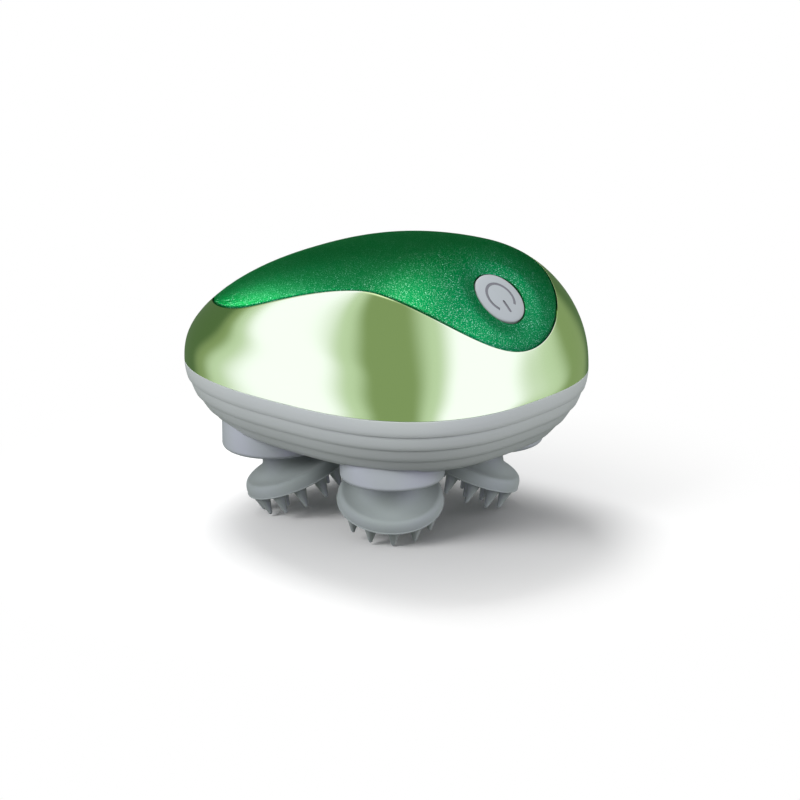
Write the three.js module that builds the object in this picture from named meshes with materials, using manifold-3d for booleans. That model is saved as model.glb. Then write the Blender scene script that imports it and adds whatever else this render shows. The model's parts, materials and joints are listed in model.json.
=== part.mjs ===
// Electric scalp massager: an egg-shaped housing over four kneading heads.
// A motor drives a sun gear, the sun gear turns four planet gears, and each planet gear turns a drum.
// Each drum carries a leaning pin, so the silicone head on it rocks round in a circle and doesn't spin.
// Millimetres, +Z up, +X towards the nose with the button, fingertips on z = 0.
import * as THREE from "three";
import { mergeVertices } from "three/addons/utils/BufferGeometryUtils.js";
import Module from "manifold-3d";

const wasm = await Module();
wasm.setup();

// Clearances
const gap = 0.3; // between a fixed piece and its seat
const runningGap = 0.4; // between a turning drum and the housing
const partingGap = 0.3; // between the two shells

// Housing outline, seen from above
const halfLength = 52.5;
const halfWidth = 45;
const widestX = 0.11 * halfLength; // where the housing is widest
const nosePower = 2.58; // superellipse powers of the outline
const tailPower = 2.62;

// Dome above the parting line
const domeHeight = 34.71;
const peakX = 0.312 * halfLength; // where the dome is highest
const noseFall = [2.13, 1.64]; // powers of the centre line in front of the peak
const tailFall = [2.1, 1.7]; // and behind it
const crownPower = 2.46; // power of the section across the housing
const upperWall = 3.4;

// Bowl below the parting line, with stepped rings
const bowlDepth = 17.3;
const bowlFlare = 10.2; // how far the bowl draws in down to the underside
const bowlPower = 1.95;
const ringHeights = [4.5, 4.1, 3.8, 3.4];
const ringStep = 0.45; // each ring hangs over the next by this much
const lowerWall = 2.4;
const lipReach = 2.2; // lip of the upper shell inside the rim
const lipThickness = 1;
const floorThickness = 2;
const padRadius = 9; // flat round land in the middle of the underside
const padHeight = 0.6;

// Grip cover: half of its outline seen from above, from tail to nose
const coverTail = [6.7 - halfLength, 0];
const coverShoulder = [-0.276 * halfLength, halfWidth - 8.6];
const coverWaist = [0.457 * halfLength, halfWidth - 16.6];
const coverNose = [halfLength - 3.7, 0];
const tailRound = 0.522; // these four pull the outline's curves, as shares of its own sizes
const noseRound = 0.651;
const waistPull = 0.364;
const waistSlope = 2.2;
const coverThickness = 1.8;
const dishRadius = 13; // soft dish round the button
const dishFloor = 6.5; // radius inside which it is at its full depth
const dishDepth = 0.9;

// Power button
const buttonX = halfLength - 12.5;
const buttonRadius = 7.45;
const buttonCrown = 0.45;
const buttonProud = 0.45; // height of its edge over the dish
const buttonFall = 0.75; // how far the dome falls away from its tangent at the button's edge
const buttonTravel = 0.6;
const flangeWidth = 1.6;
const flangeThickness = 1;
const buttonSeat = buttonRadius + flangeWidth + 0.6; // ring inside the shell that the flange rests under
const stemRadius = 1.6;
const stemLength = 2.2;
const boardThickness = 1.2;
const boardSize = [10, 29];
const switchSize = 6;
const switchHeight = 3;
const plungerHeight = 0.7;
const stakeRadius = 0.9;

// Kneading heads
const headTilt = THREE.MathUtils.degToRad(21.5);
const fingerLength = 5.7;
const fingerRoot = 1.75; // radius at the disc
const fingerTip = 0.8; // radius at the rounded end
const fingerRings = [
  { count: 12, radius: 11.2 },
  { count: 8, radius: 6.9 },
  { count: 1, radius: 0 },
];
const discDrop = 16.7; // from the pivot down to the face of the disc, along the pin
const discRadius = 13.95;
const rimHeight = 3.4;
const rimBevel = 1.15;
const neckRadius = 6.5;
const neckTop = 4;
const flareTop = 7.5;
const skinThickness = 1.3; // silicone under the hub
const hubNeckRadius = 4.3;
const hubFlangeRadius = 9.4;
const hubFlangeThickness = 1.2;
const pinRadius = 2;
const pinHeadRadius = 3.5;
const pinHeadThickness = 1.2;

// Drums
const drumRadius = 13.5;
const drumHeight = 8.1;
const drumWall = 1.5;
const drumWeb = 2;
const drumEdge = 1.3; // rounding of the lower edge
const journalRadius = 3;
const topJournalRadius = 2;
const drumCollar = 0.5; // raised ring of the roof that the planet gear runs on
const hexRadius = 2.7;

// Gears
const sunTeeth = 24;
const planetTeeth = 15;
const headModule = halfWidth / 30; // so that the four stations fill the width
const headFace = 3.2;
const bullTeeth = 22;
const idlerSmallTeeth = 7;
const stageFace = 3;
const idlerLargeTeeth = 21;
const motorPinionTeeth = 7;
const motorFace = 3;
const tailRoom = 20.125; // for socket, board and screw post between the gears and the tail's end
const addendum = 0.9; // these four in modules
const dedendum = 1.15;
const flankSlope = 0.36;
const backlash = 0.17; // taken off each flank

// Inside the housing
const hubPostRadius = 5.2; // post with the blind bore under the sun gear
const journalWall = 1.8;
const pocketRoof = 1.8;
const cupWall = 2.1;
const plateThickness = 1.8;
const plateClearance = 0.6; // between a gear and the plate next to it
const deckWidth = 1.12 * halfWidth;
const plateCorner = 6;
const motorRib = { thickness: 1.4, length: 12, height: 7 };
const deckPostRadius = 2.1;
const deckPostInset = 2.8; // from the edge of the deck
const pinToPost = 4.275; // from the idler's pin to the deck post behind it
const spigotRadius = 1.2;
const pillarRadius = 3.4;
const idlerPinRadius = 1.2;
const motorSize = { radius: 10, flats: 15, height: 22, bossRadius: 3, bossHeight: 1.5, shaftRadius: 1 };
const cellRadius = 7.1;
const cellLength = 50;
const cellX = -19.9;
const cradleWall = 1.2;

// Case screws, driven up from the underside
const screwInset = 16; // from the nose and the tail
const postRadius = 3.2;
const screwRadius = 1.2;
const screwHeadRadius = 2.3;
const screwHeadHeight = 1.6;
const counterboreDepth = 5;
const screwEngagement = 7; // length of screw in the upper shell

// Charging socket in the tail
const portHeight = 4.2; // centre of the socket over the parting line
const socketFront = 4.6 - halfLength;
const socketSize = { width: 8.94, height: 3.26, depth: 7.4, wall: 0.35 };
const chargingBoardSize = { length: 6.6, width: 12, inset: 1.2 };
const ribSize = { length: 5.5, width: 1.2, reach: 4.5 }; // two ribs under the board
const plugSize = [12, 5.4];
const plugThickness = 1.3;
const plugSink = 0.2; // how far its face lies under the shell's

// Facets
const shellFacets = 32;
const shellRings = 7;
const insideFacets = 16; // hidden faces of the shells, all alike so that they stay parallel
const insideRings = 5;
const roundFacets = 16;
const smallFacets = 12;
const tinyFacets = 8;
const hubFacets = 8;
const fingerFacets = 5;
const spigotFacets = 6;

// Heights that follow from the sizes above
const headReach = discDrop + fingerLength;
const lowestTip = fingerRings[0].radius + fingerTip;
const pivotHeight = headReach * Math.cos(headTilt) + lowestTip * Math.sin(headTilt);
const pivotOverUnderside = 2.25; // pivot of the heads over the flat underside
const undersideHeight = pivotHeight - pivotOverUnderside;
const seamHeight = undersideHeight + bowlDepth;
const floorTop = undersideHeight + floorThickness;
const hubFloor = undersideHeight + 1.6; // bottom of the blind bore under the sun gear
const pocketDepth = 3.6;
const roofUnder = undersideHeight + pocketDepth;
const roofTop = roofUnder + pocketRoof;
const drumTop = roofUnder - runningGap;
const drumBottom = drumTop - drumHeight;
const headGearBottom = roofTop + drumCollar + gap;
const headGearTop = headGearBottom + headFace;
const deckBottom = headGearTop + plateClearance;
const deckTop = deckBottom + plateThickness;
const stageBottom = deckTop + plateClearance;
const stageTop = stageBottom + stageFace;
const motorGearBottom = stageTop + plateClearance;
const motorGearTop = motorGearBottom + motorFace;
const plateBottom = motorGearTop + plateClearance;
const plateTop = plateBottom + plateThickness;
const socketBoardTop = seamHeight + portHeight - socketSize.height / 2 - gap;

// Places that follow from the gears
const stationRadius = (headModule * (sunTeeth + planetTeeth)) / 2;
const stageTeeth = bullTeeth + idlerSmallTeeth + idlerLargeTeeth;
const stageModule = (halfLength - tailRoom) / (stageTeeth / 2 + addendum); // the gears fill the length up to the post
const motorModule = stageModule;
const idlerX = (-stageModule * (bullTeeth + idlerSmallTeeth)) / 2;
const motorX = idlerX + (motorModule * (idlerLargeTeeth + motorPinionTeeth)) / 2;
const pocketRadius = drumRadius + runningGap;
const deckPostX = pinToPost - idlerX;
const deckPostY = deckWidth / 2 - deckPostInset;
const deckEnd = deckPostX + deckPostInset;
const screwSide = deckWidth / 2 + postRadius + plateClearance;
const screwPlaces = {
  nose: [halfLength - screwInset, 0],
  tail: [screwInset - halfLength, 0],
  left: [0, screwSide],
  right: [0, -screwSide],
};
const stations = ["front_left", "rear_left", "rear_right", "front_right"].map((name, i) => ({
  name,
  angle: ((2 * i + 1) * Math.PI) / 4,
}));
const stationPlaces = stations.map(({ angle }) => [stationRadius * Math.cos(angle), stationRadius * Math.sin(angle)]);
const deckPostPlaces = [[deckPostX, 0], [0, deckPostY], [-deckPostX, 0], [0, -deckPostY]];

// Materials
function finish(color, roughness, metalness) {
  return new THREE.MeshStandardMaterial({ color, roughness, metalness });
}
const coatedShell = finish(0xa9cf86, 0.22, 0.9);
const gripSkin = finish(0x12693a, 0.6, 0);
const greyPlastic = finish(0xa9b0b0, 0.5, 0);
const lilacPlastic = finish(0xa8abb8, 0.45, 0);
const silicone = finish(0x8a9695, 0.6, 0);
const darkRubber = finish(0x2c2e30, 0.8, 0);
const whitePlastic = finish(0xe8e6df, 0.5, 0);
const steel = finish(0xb8babd, 0.3, 1);
const brass = finish(0xc2a25a, 0.35, 1);
const circuitBoard = finish(0x1f5a3a, 0.5, 0);
const blackPlastic = finish(0x1b1c1e, 0.5, 0);
const cellWrap = finish(0x2f6fb0, 0.45, 0);

// Turns a closed three.js geometry into a solid for cutting and joining.
function toSolid(geometry) {
  const bare = geometry.clone();
  bare.deleteAttribute("normal");
  bare.deleteAttribute("uv");
  const merged = mergeVertices(bare, 1e-4);
  const corners = merged.index.array;
  const triVerts = [];
  for (let i = 0; i < corners.length; i += 3) {
    const [a, b, c] = [corners[i], corners[i + 1], corners[i + 2]];
    if (a !== b && b !== c && c !== a) triVerts.push(a, b, c);
  }
  const vertProperties = new Float32Array(merged.attributes.position.array);
  return new wasm.Manifold(
    new wasm.Mesh({ numProp: 3, vertProperties, triVerts: new Uint32Array(triVerts) }),
  );
}

function toGeometry(solid) {
  const mesh = solid.getMesh();
  const geometry = new THREE.BufferGeometry();
  geometry.setAttribute("position", new THREE.BufferAttribute(mesh.vertProperties, 3));
  geometry.setIndex(new THREE.BufferAttribute(mesh.triVerts, 1));
  const faceted = geometry.toNonIndexed();
  faceted.computeVertexNormals();
  return faceted;
}

function joined(...solids) {
  return solids.reduce((whole, next) => whole.add(next));
}

function cutBy(solid, ...tools) {
  return tools.reduce((rest, tool) => rest.subtract(tool), solid);
}

// Basic forms, each standing on its lowest z

// A profile of [radius, z] points turned round the Z axis.
function turned(profile, facets) {
  const points = profile.map(([radius, z]) => new THREE.Vector2(radius, z));
  return new THREE.LatheGeometry(points, facets).rotateX(Math.PI / 2);
}

// A ring of rectangular section, or a disc where inner is 0.
function ringProfile(outer, inner, bottom, top) {
  const start = inner > 0 ? [inner, bottom] : [0, bottom];
  const end = inner > 0 ? [[inner, top], [inner, bottom]] : [[0, top]];
  return [start, [outer, bottom], [outer, top], ...end];
}

function rod(radius, bottom, top, facets, x = 0, y = 0) {
  return toSolid(turned(ringProfile(radius, 0, bottom, top), facets).translate(x, y, 0));
}

function ring(outer, inner, bottom, top, facets) {
  return toSolid(turned(ringProfile(outer, inner, bottom, top), facets));
}

function block(sizeX, sizeY, bottom, top, x = 0, y = 0) {
  const geometry = new THREE.BoxGeometry(sizeX, sizeY, top - bottom);
  return toSolid(geometry.translate(x, y, (top + bottom) / 2));
}

function polygon(radius, sides, turn = 0) {
  return Array.from({ length: sides }, (_, i) => {
    const angle = turn + (i * 2 * Math.PI) / sides;
    return new THREE.Vector2(radius * Math.cos(angle), radius * Math.sin(angle));
  });
}

function extruded(shape, bottom, top, curveSegments = 6) {
  const options = { depth: top - bottom, bevelEnabled: false, curveSegments };
  return new THREE.ExtrudeGeometry(shape, options).translate(0, 0, bottom);
}

function roundedRectangle(sizeX, sizeY, corner) {
  const [x, y] = [sizeX / 2 - corner, sizeY / 2 - corner];
  const shape = new THREE.Shape();
  shape.absarc(x, y, corner, 0, Math.PI / 2);
  shape.absarc(-x, y, corner, Math.PI / 2, Math.PI);
  shape.absarc(-x, -y, corner, Math.PI, 1.5 * Math.PI);
  shape.absarc(x, -y, corner, 1.5 * Math.PI, 2 * Math.PI);
  return shape;
}

function hexPrism(radius, bottom, top) {
  return toSolid(extruded(new THREE.Shape(polygon(radius, 6)), bottom, top));
}

// Housing form

// Point of the plan outline at a turn round the housing, drawn in by inset.
function outlinePoint(turn, inset) {
  const [along, across] = [Math.cos(turn), Math.sin(turn)];
  const power = along >= 0 ? nosePower : tailPower;
  const reach = (along >= 0 ? halfLength - widestX : halfLength + widestX) - inset;
  return [
    widestX + Math.sign(along) * reach * Math.abs(along) ** (2 / power),
    Math.sign(across) * (halfWidth - inset) * Math.abs(across) ** (2 / power),
  ];
}

function planHalfWidth(x, inset) {
  const power = x >= widestX ? nosePower : tailPower;
  const reach = (x >= widestX ? halfLength - widestX : halfLength + widestX) - inset;
  const share = Math.min(Math.abs(x - widestX) / reach, 1);
  return (halfWidth - inset) * (1 - share ** power) ** (1 / power);
}

function ridgeHeight(x, inset) {
  const [inner, outer] = x >= peakX ? noseFall : tailFall;
  const reach = (x >= peakX ? halfLength - peakX : halfLength + peakX) - inset;
  const share = Math.min(Math.abs(x - peakX) / reach, 1);
  return (domeHeight - inset) * (1 - share ** inner) ** (1 / outer);
}

function domeHeightAt(x, y, inset) {
  const share = Math.min(Math.abs(y) / planHalfWidth(x, inset), 1) || 0;
  return ridgeHeight(x, inset) * (1 - share ** crownPower) ** (1 / crownPower);
}

// Moves every corner of a geometry to where place(x, y, z) says.
function warped(geometry, place) {
  const corners = geometry.attributes.position;
  for (let i = 0; i < corners.count; i++) {
    corners.setXYZ(i, ...place(corners.getX(i), corners.getY(i), corners.getZ(i)));
  }
  return geometry;
}

// The dome down to the parting line, drawn in by inset: a turned half ball pulled over the outline.
function dome(inset, facets = insideFacets, rings = insideRings) {
  const profile = [[0, 0]];
  for (let i = rings; i >= 0; i--) {
    const angle = (i * Math.PI) / 2 / rings;
    profile.push([i === 0 ? 0 : Math.sin(angle), i === rings ? 0 : Math.cos(angle)]);
  }
  return toSolid(
    warped(turned(profile, facets), (x, y, z) => {
      const share = Math.hypot(x, y);
      const [edgeX, edgeY] = outlinePoint(Math.atan2(y, x), inset);
      const placeX = peakX + share * (edgeX - peakX);
      const placeY = share * edgeY;
      return [placeX, placeY, seamHeight + (z > 0 ? domeHeightAt(placeX, placeY, inset) : 0)];
    }),
  );
}

// A turned profile of [inset, z] points pulled out to the housing's outline; null is the middle.
function followOutline(profile, facets = insideFacets) {
  const points = profile.map(([inset, z]) => [inset === null ? 0 : halfLength - inset, z]);
  return toSolid(
    warped(turned(points, facets), (x, y, z) => {
      const radius = Math.hypot(x, y);
      if (radius < 1e-6) return [0, 0, z];
      return [...outlinePoint(Math.atan2(y, x), halfLength - radius), z];
    }),
  );
}

function bowlInset(depth) {
  return bowlFlare * (depth / bowlDepth) ** bowlPower;
}

// Outer form of the bowl: each ring leans in and hangs a little over the ring below it.
function bowlOutside() {
  const levels = [[0, seamHeight]];
  let depth = 0;
  for (const height of ringHeights) {
    depth += height;
    levels.push([bowlInset(depth), seamHeight - depth]);
    levels.push([bowlInset(depth) + ringStep, seamHeight - depth]);
  }
  levels.push([bowlFlare + ringStep, undersideHeight], [null, undersideHeight]);
  return followOutline([...levels.reverse(), [null, seamHeight]], shellFacets);
}

// The hollow of the bowl for a given wall and floor
function bowlInside(wall, floor, steps) {
  const levels = [[null, seamHeight + 1], [wall + ringStep, seamHeight + 1]];
  for (let i = 0; i <= steps; i++) {
    const depth = ((bowlDepth - floor) * i) / steps;
    levels.push([bowlInset(depth) + ringStep + wall, seamHeight - depth]);
  }
  return followOutline([[null, undersideHeight + floor], ...levels.reverse()]);
}

// The cover's outline seen from above, grown by margin.
function coverOutline(margin) {
  const half = new THREE.Path();
  half.moveTo(...coverTail);
  const [shoulderX, shoulderY] = coverShoulder;
  const [waistX, waistY] = coverWaist;
  const middle = (waistX - shoulderX) * waistPull;
  const shoulderPull = (shoulderX - coverTail[0]) * 0.59;
  const nosePull = (coverNose[0] - waistX) * 0.545;
  half.bezierCurveTo(coverTail[0], -shoulderY * tailRound, shoulderX - shoulderPull, -shoulderY, shoulderX, -shoulderY);
  half.bezierCurveTo(shoulderX + middle * 0.75, -shoulderY, waistX - middle, -waistY - waistSlope, waistX, -waistY);
  half.bezierCurveTo(waistX + nosePull, -waistY + waistSlope, coverNose[0], -waistY * noseRound, ...coverNose);
  const near = half.getPoints(6);
  const whole = near.concat(near.slice(1, -1).reverse().map((p) => new THREE.Vector2(p.x, -p.y)));
  const grown = whole.map((point, i) => {
    const before = whole[(i + whole.length - 1) % whole.length];
    const after = whole[(i + 1) % whole.length];
    const along = after.clone().sub(before).normalize();
    return new THREE.Vector2(point.x + along.y * margin, point.y - along.x * margin);
  });
  return new THREE.Shape(grown);
}

function coverPrism(margin) {
  return toSolid(extruded(coverOutline(margin), seamHeight + 1, seamHeight + domeHeight + 5));
}

// Button frame: its origin is on the dome and its Z axis points out of the dome.
const slopeStep = 0.05;
const buttonSlope =
  (ridgeHeight(buttonX + slopeStep, 0) - ridgeHeight(buttonX - slopeStep, 0)) / (2 * slopeStep);
const buttonLean = Math.atan(-buttonSlope);
const buttonFrame = new THREE.Matrix4()
  .makeTranslation(buttonX, 0, seamHeight + ridgeHeight(buttonX, 0))
  .multiply(new THREE.Matrix4().makeRotationY(buttonLean));

function atButton(geometry) {
  return toSolid(geometry.applyMatrix4(buttonFrame));
}

function buttonDisc(radius, bottom, top, facets = roundFacets) {
  return atButton(turned(ringProfile(radius, 0, bottom, top), facets));
}

// Depths along the button's axis, from the dome inwards
const buttonEdge = -buttonFall - dishDepth + buttonProud;
const seatDepth = -upperWall - buttonFall - gap;
const flangeTop = seatDepth - gap;
const flangeBottom = flangeTop - flangeThickness;
const stemEnd = flangeBottom - stemLength;
const plungerTop = stemEnd - buttonTravel - 0.1;
const switchTop = plungerTop - plungerHeight;
const switchBottom = switchTop - switchHeight;
const boardTop = switchBottom - gap;
const boardBottom = boardTop - boardThickness;
const buttonHole = buttonRadius + gap;
const boardBossY = boardSize[1] / 2 - 2.4;

// Slot with round ends across the tail, seen along the X axis
function slotAlongX(width, height, fromX, toX) {
  const shape = roundedRectangle(width, height, height / 2 - 0.01);
  const geometry = extruded(shape, 0, toX - fromX, 2);
  geometry.rotateX(Math.PI / 2).rotateZ(Math.PI / 2);
  return toSolid(geometry.translate(fromX, 0, seamHeight + portHeight));
}

// Housing pieces

// Turned step that grips the inside of the lower shell's rim, rooted in the wall above the parting line.
function alignmentLip() {
  const face = lowerWall + ringStep + 2 * gap;
  return followOutline([
    [face, seamHeight - lipReach],
    [face, seamHeight + partingGap / 2],
    [upperWall - 0.8, seamHeight + partingGap / 2],
    [upperWall - 0.8, seamHeight + 3],
    [face + lipThickness, seamHeight + 3],
    [face + lipThickness, seamHeight - lipReach],
    [face, seamHeight - lipReach],
  ]);
}

// Bosses inside the upper shell, before they are cut to the dome
function upperBosses() {
  const [noseX] = screwPlaces.nose;
  const pieces = Object.entries(screwPlaces).map(([place, [x, y]]) => {
    const top = seamHeight + (place === "nose" ? screwEngagement + 1.2 : domeHeight);
    return rod(postRadius, seamHeight, top, tinyFacets, x, y);
  });
  const webLength = halfLength - noseX;
  pieces.push(block(webLength, 1.6, seamHeight, seamHeight + screwEngagement, noseX + webLength / 2));
  pieces.push(buttonDisc(buttonSeat, seatDepth, -coverThickness, roundFacets));
  for (const side of [-1, 1]) {
    const boss = turned(ringProfile(1.9, 0, boardTop + gap, 0), tinyFacets);
    const stake = turned(ringProfile(stakeRadius, 0, boardBottom - 0.4, 0), tinyFacets);
    pieces.push(atButton(boss.translate(0, side * boardBossY, 0)));
    pieces.push(atButton(stake.translate(0, side * boardBossY, 0)));
  }
  return joined(...pieces);
}

function upperShell() {
  const recessFloor = coverThickness + gap;
  const portRecess = slotAlongX(plugSize[0] + 2 * gap, plugSize[1] + 2 * gap, -halfLength - 1, -halfLength / 2);
  const belowSeam = block(4 * halfLength, 4 * halfWidth, undersideHeight, seamHeight + partingGap / 2);
  const pilots = Object.values(screwPlaces).map(([x, y]) =>
    rod(screwRadius + gap, seamHeight - 1, seamHeight + screwEngagement + 0.4, tinyFacets, x, y),
  );
  return cutBy(
    dome(0, shellFacets, shellRings)
      .subtract(coverPrism(gap))
      .add(dome(recessFloor))
      .subtract(dome(upperWall))
      .add(upperBosses().intersect(dome(recessFloor + 0.4)))
      .subtract(belowSeam)
      .add(alignmentLip()),
    portRecess.subtract(dome(plugSink + plugThickness + gap)),
    buttonDisc(buttonHole, 2 * boardTop, 2),
    buttonDisc(buttonSeat, 2 * boardTop, seatDepth),
    slotAlongX(socketSize.width + 2 * gap, socketSize.height + 2 * gap, -halfLength - 1, -halfLength + 7),
    ...pilots,
  );
}

// The space above the dish: a disc bent to the dome and let into it, with a soft shoulder.
function dishTool() {
  const rings = [0, dishFloor, 8.7, 10.8, dishRadius, dishRadius + 1.5];
  const profile = rings.map((radius) => [radius, 0]);
  profile.push([rings[rings.length - 1], 1], [0, 1]);
  return toSolid(
    warped(turned(profile, roundFacets), (x, y, z) => {
      const radius = Math.hypot(x, y);
      const share = Math.min((radius - dishFloor) / (dishRadius - dishFloor), 1.25);
      const dip = share <= 0 ? 1 : 1 - share * share * (3 - 2 * share);
      const placeX = buttonX + x * Math.cos(buttonLean);
      const lift = radius > dishRadius ? 0.4 : -dip * dishDepth;
      const height = z > 0.5 ? domeHeight + 3 : domeHeightAt(placeX, y, 0) + lift / Math.cos(buttonLean);
      return [placeX, y, seamHeight + height];
    }),
  );
}

function gripCover() {
  return cutBy(
    dome(0, shellFacets, shellRings).intersect(coverPrism(0)),
    dome(coverThickness),
    dishTool(),
    buttonDisc(buttonHole, 2 * boardTop, 2),
  );
}

function lowerShell() {
  const rim = seamHeight - partingGap / 2;
  const posts = [rod(hubPostRadius, undersideHeight, roofTop, smallFacets)];
  const pockets = [rod(topJournalRadius + gap, hubFloor, roofTop + 1, smallFacets)];
  for (const [x, y] of stationPlaces) {
    posts.push(rod(pocketRadius + cupWall, undersideHeight, roofTop, smallFacets, x, y));
    pockets.push(rod(pocketRadius, undersideHeight - padHeight - 1, roofUnder, roundFacets, x, y));
    posts.push(rod(journalRadius + journalWall, roofUnder, roofTop + drumCollar, tinyFacets, x, y));
    pockets.push(rod(journalRadius + gap, roofUnder - 1, headGearBottom, smallFacets, x, y));
  }
  for (const [x, y] of Object.values(screwPlaces)) {
    posts.push(rod(postRadius, undersideHeight, rim, tinyFacets, x, y));
    const seat = undersideHeight + counterboreDepth;
    pockets.push(rod(screwHeadRadius + gap, undersideHeight - 1, seat, tinyFacets, x, y));
    pockets.push(rod(screwRadius + gap, undersideHeight, seamHeight + 1, tinyFacets, x, y));
  }
  for (const [x, y] of deckPostPlaces) {
    posts.push(rod(deckPostRadius, undersideHeight, deckBottom - gap, tinyFacets, x, y));
    posts.push(rod(spigotRadius, deckBottom - 2, deckTop, spigotFacets, x, y));
  }
  const ribTop = socketBoardTop - boardThickness - gap;
  const ribX = socketFront + chargingBoardSize.inset + ribSize.length / 2;
  const ribBottom = floorTop + lowerWall;
  const socketRibs = [-ribSize.reach, ribSize.reach].map((y) =>
    block(ribSize.length, ribSize.width, ribBottom, ribTop, ribX, y),
  );
  const bowl = bowlOutside();
  return cutBy(
    bowl
      .subtract(bowlInside(lowerWall, floorThickness, 3))
      .add(joined(...posts).intersect(bowlInside(lowerWall / 2, floorThickness / 2, 2)))
      .subtract(block(4 * halfLength, 4 * halfWidth, rim, seamHeight + 5))
      .add(joined(...socketRibs))
      .add(rod(padRadius, undersideHeight - padHeight, undersideHeight + 1, roundFacets)),
    ...pockets,
  );
}

function caseScrew() {
  const seat = undersideHeight + counterboreDepth - gap;
  const head = ring(screwHeadRadius, 0, seat - screwHeadHeight, seat, tinyFacets);
  return head.add(rod(screwRadius, seat - 0.1, seamHeight + screwEngagement, tinyFacets));
}

// Button pieces, in the button frame

function powerButton() {
  const profile = [
    [0, stemEnd],
    [stemRadius, stemEnd],
    [stemRadius, flangeBottom],
    [buttonRadius + flangeWidth, flangeBottom],
    [buttonRadius + flangeWidth, flangeTop],
    [buttonRadius, flangeTop],
    [buttonRadius, buttonEdge - 0.3],
    [buttonRadius - 0.3, buttonEdge],
    [0, buttonEdge + buttonCrown],
  ];
  return toSolid(turned(profile, roundFacets));
}

function switchBoard() {
  const plate = extruded(roundedRectangle(...boardSize, 1.5), boardBottom, boardTop, 2);
  const holes = [-1, 1].map((side) => rod(0.9 + gap, boardBottom - 1, boardTop + 1, tinyFacets, 0, side * boardBossY));
  return cutBy(toSolid(plate), ...holes);
}

function tactSwitch() {
  const body = block(switchSize, switchSize, switchBottom, switchTop);
  return body.add(rod(1.7, switchTop - 0.5, plungerTop, smallFacets));
}

// Gears

// Outline with straight-sided teeth, one tooth centred on the direction turn.
function gearShape(teeth, module, turn, boreRadius, boreSides) {
  const pitchRadius = (teeth * module) / 2;
  const levels = [-dedendum, addendum].map((reach) => ({
    radius: pitchRadius + reach * module,
    half: ((Math.PI / 4 - backlash - flankSlope * reach) * module) / pitchRadius,
  }));
  const points = [];
  for (let i = 0; i < teeth; i++) {
    const middle = turn + (i * 2 * Math.PI) / teeth;
    for (const [level, side] of [[0, -1], [1, -1], [1, 1], [0, 1]]) {
      const { radius, half } = levels[level];
      const angle = middle + side * half;
      points.push(new THREE.Vector2(radius * Math.cos(angle), radius * Math.sin(angle)));
    }
  }
  const shape = new THREE.Shape(points);
  if (boreRadius > 0) shape.holes.push(new THREE.Path(polygon(boreRadius, boreSides).reverse()));
  return shape;
}

function gear(teeth, module, turn, bottom, top, boreRadius = 0, boreSides = smallFacets) {
  return toSolid(extruded(gearShape(teeth, module, turn, boreRadius, boreSides), bottom, top));
}

// Turn of a gear that meshes with a driver whose tooth points along driverTurn, at a bearing from it.
function meshTurn(driverTeeth, driverTurn, bearing, teeth) {
  const phase = ((bearing - driverTurn) * driverTeeth) / (2 * Math.PI);
  return bearing + Math.PI - ((0.5 - (phase - Math.floor(phase))) * 2 * Math.PI) / teeth;
}

function sunGear() {
  return joined(
    gear(sunTeeth, headModule, 0, headGearBottom, headGearTop),
    rod(topJournalRadius, hubFloor + gap, headGearBottom + 1, smallFacets),
    rod(4.5, roofTop + gap, headGearBottom + 1, smallFacets),
    rod(journalRadius, headGearTop - 1, deckTop + gap, smallFacets),
    hexPrism(hexRadius, deckTop, stageTop + 0.1),
  );
}

function bullGear() {
  return gear(bullTeeth, stageModule, 0, stageBottom, stageTop, hexRadius + gap, 6);
}

const idlerTurn = meshTurn(bullTeeth, 0, Math.PI, idlerSmallTeeth);

function idlerGear() {
  return joined(
    gear(idlerSmallTeeth, stageModule, idlerTurn, stageBottom, motorGearBottom + 0.1),
    gear(idlerLargeTeeth, motorModule, idlerTurn, motorGearBottom, motorGearTop),
  ).subtract(rod(idlerPinRadius + gap, stageBottom - 1, motorGearTop + 1, smallFacets));
}

function motorPinion() {
  const turn = meshTurn(idlerLargeTeeth, idlerTurn, 0, motorPinionTeeth);
  const bore = motorSize.shaftRadius + gap;
  return gear(motorPinionTeeth, motorModule, turn, motorGearBottom, motorGearTop, bore, tinyFacets);
}

// In the frame of its station, whose +X points back to the sun
function planetGear() {
  const turn = meshTurn(sunTeeth, 0, stations[0].angle, planetTeeth) - stations[0].angle - Math.PI;
  return gear(planetTeeth, headModule, turn, headGearBottom, headGearTop, hexRadius + gap, 6);
}

// Plates

function gearDeck() {
  const plate = toSolid(extruded(roundedRectangle(2 * deckEnd, deckWidth, plateCorner), deckBottom, deckTop, 2));
  const pillars = [];
  const holes = [
    rod(journalRadius + gap, deckBottom - 1, deckTop + 1, smallFacets),
    rod(idlerPinRadius + gap, deckBottom - 1, deckTop + 1, tinyFacets, idlerX, 0),
  ];
  for (const [x, y] of stationPlaces) {
    pillars.push(rod(pillarRadius, deckTop - 0.5, plateBottom - gap, tinyFacets, x, y));
    pillars.push(rod(spigotRadius, plateBottom - 1, plateTop, spigotFacets, x, y));
    holes.push(rod(topJournalRadius + runningGap, deckBottom - 1, deckTop + gap, tinyFacets, x, y));
  }
  for (const [x, y] of deckPostPlaces) {
    holes.push(rod(spigotRadius + gap, deckBottom - 1, deckTop + 1, spigotFacets, x, y));
  }
  return cutBy(joined(plate, ...pillars), ...holes);
}

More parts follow.
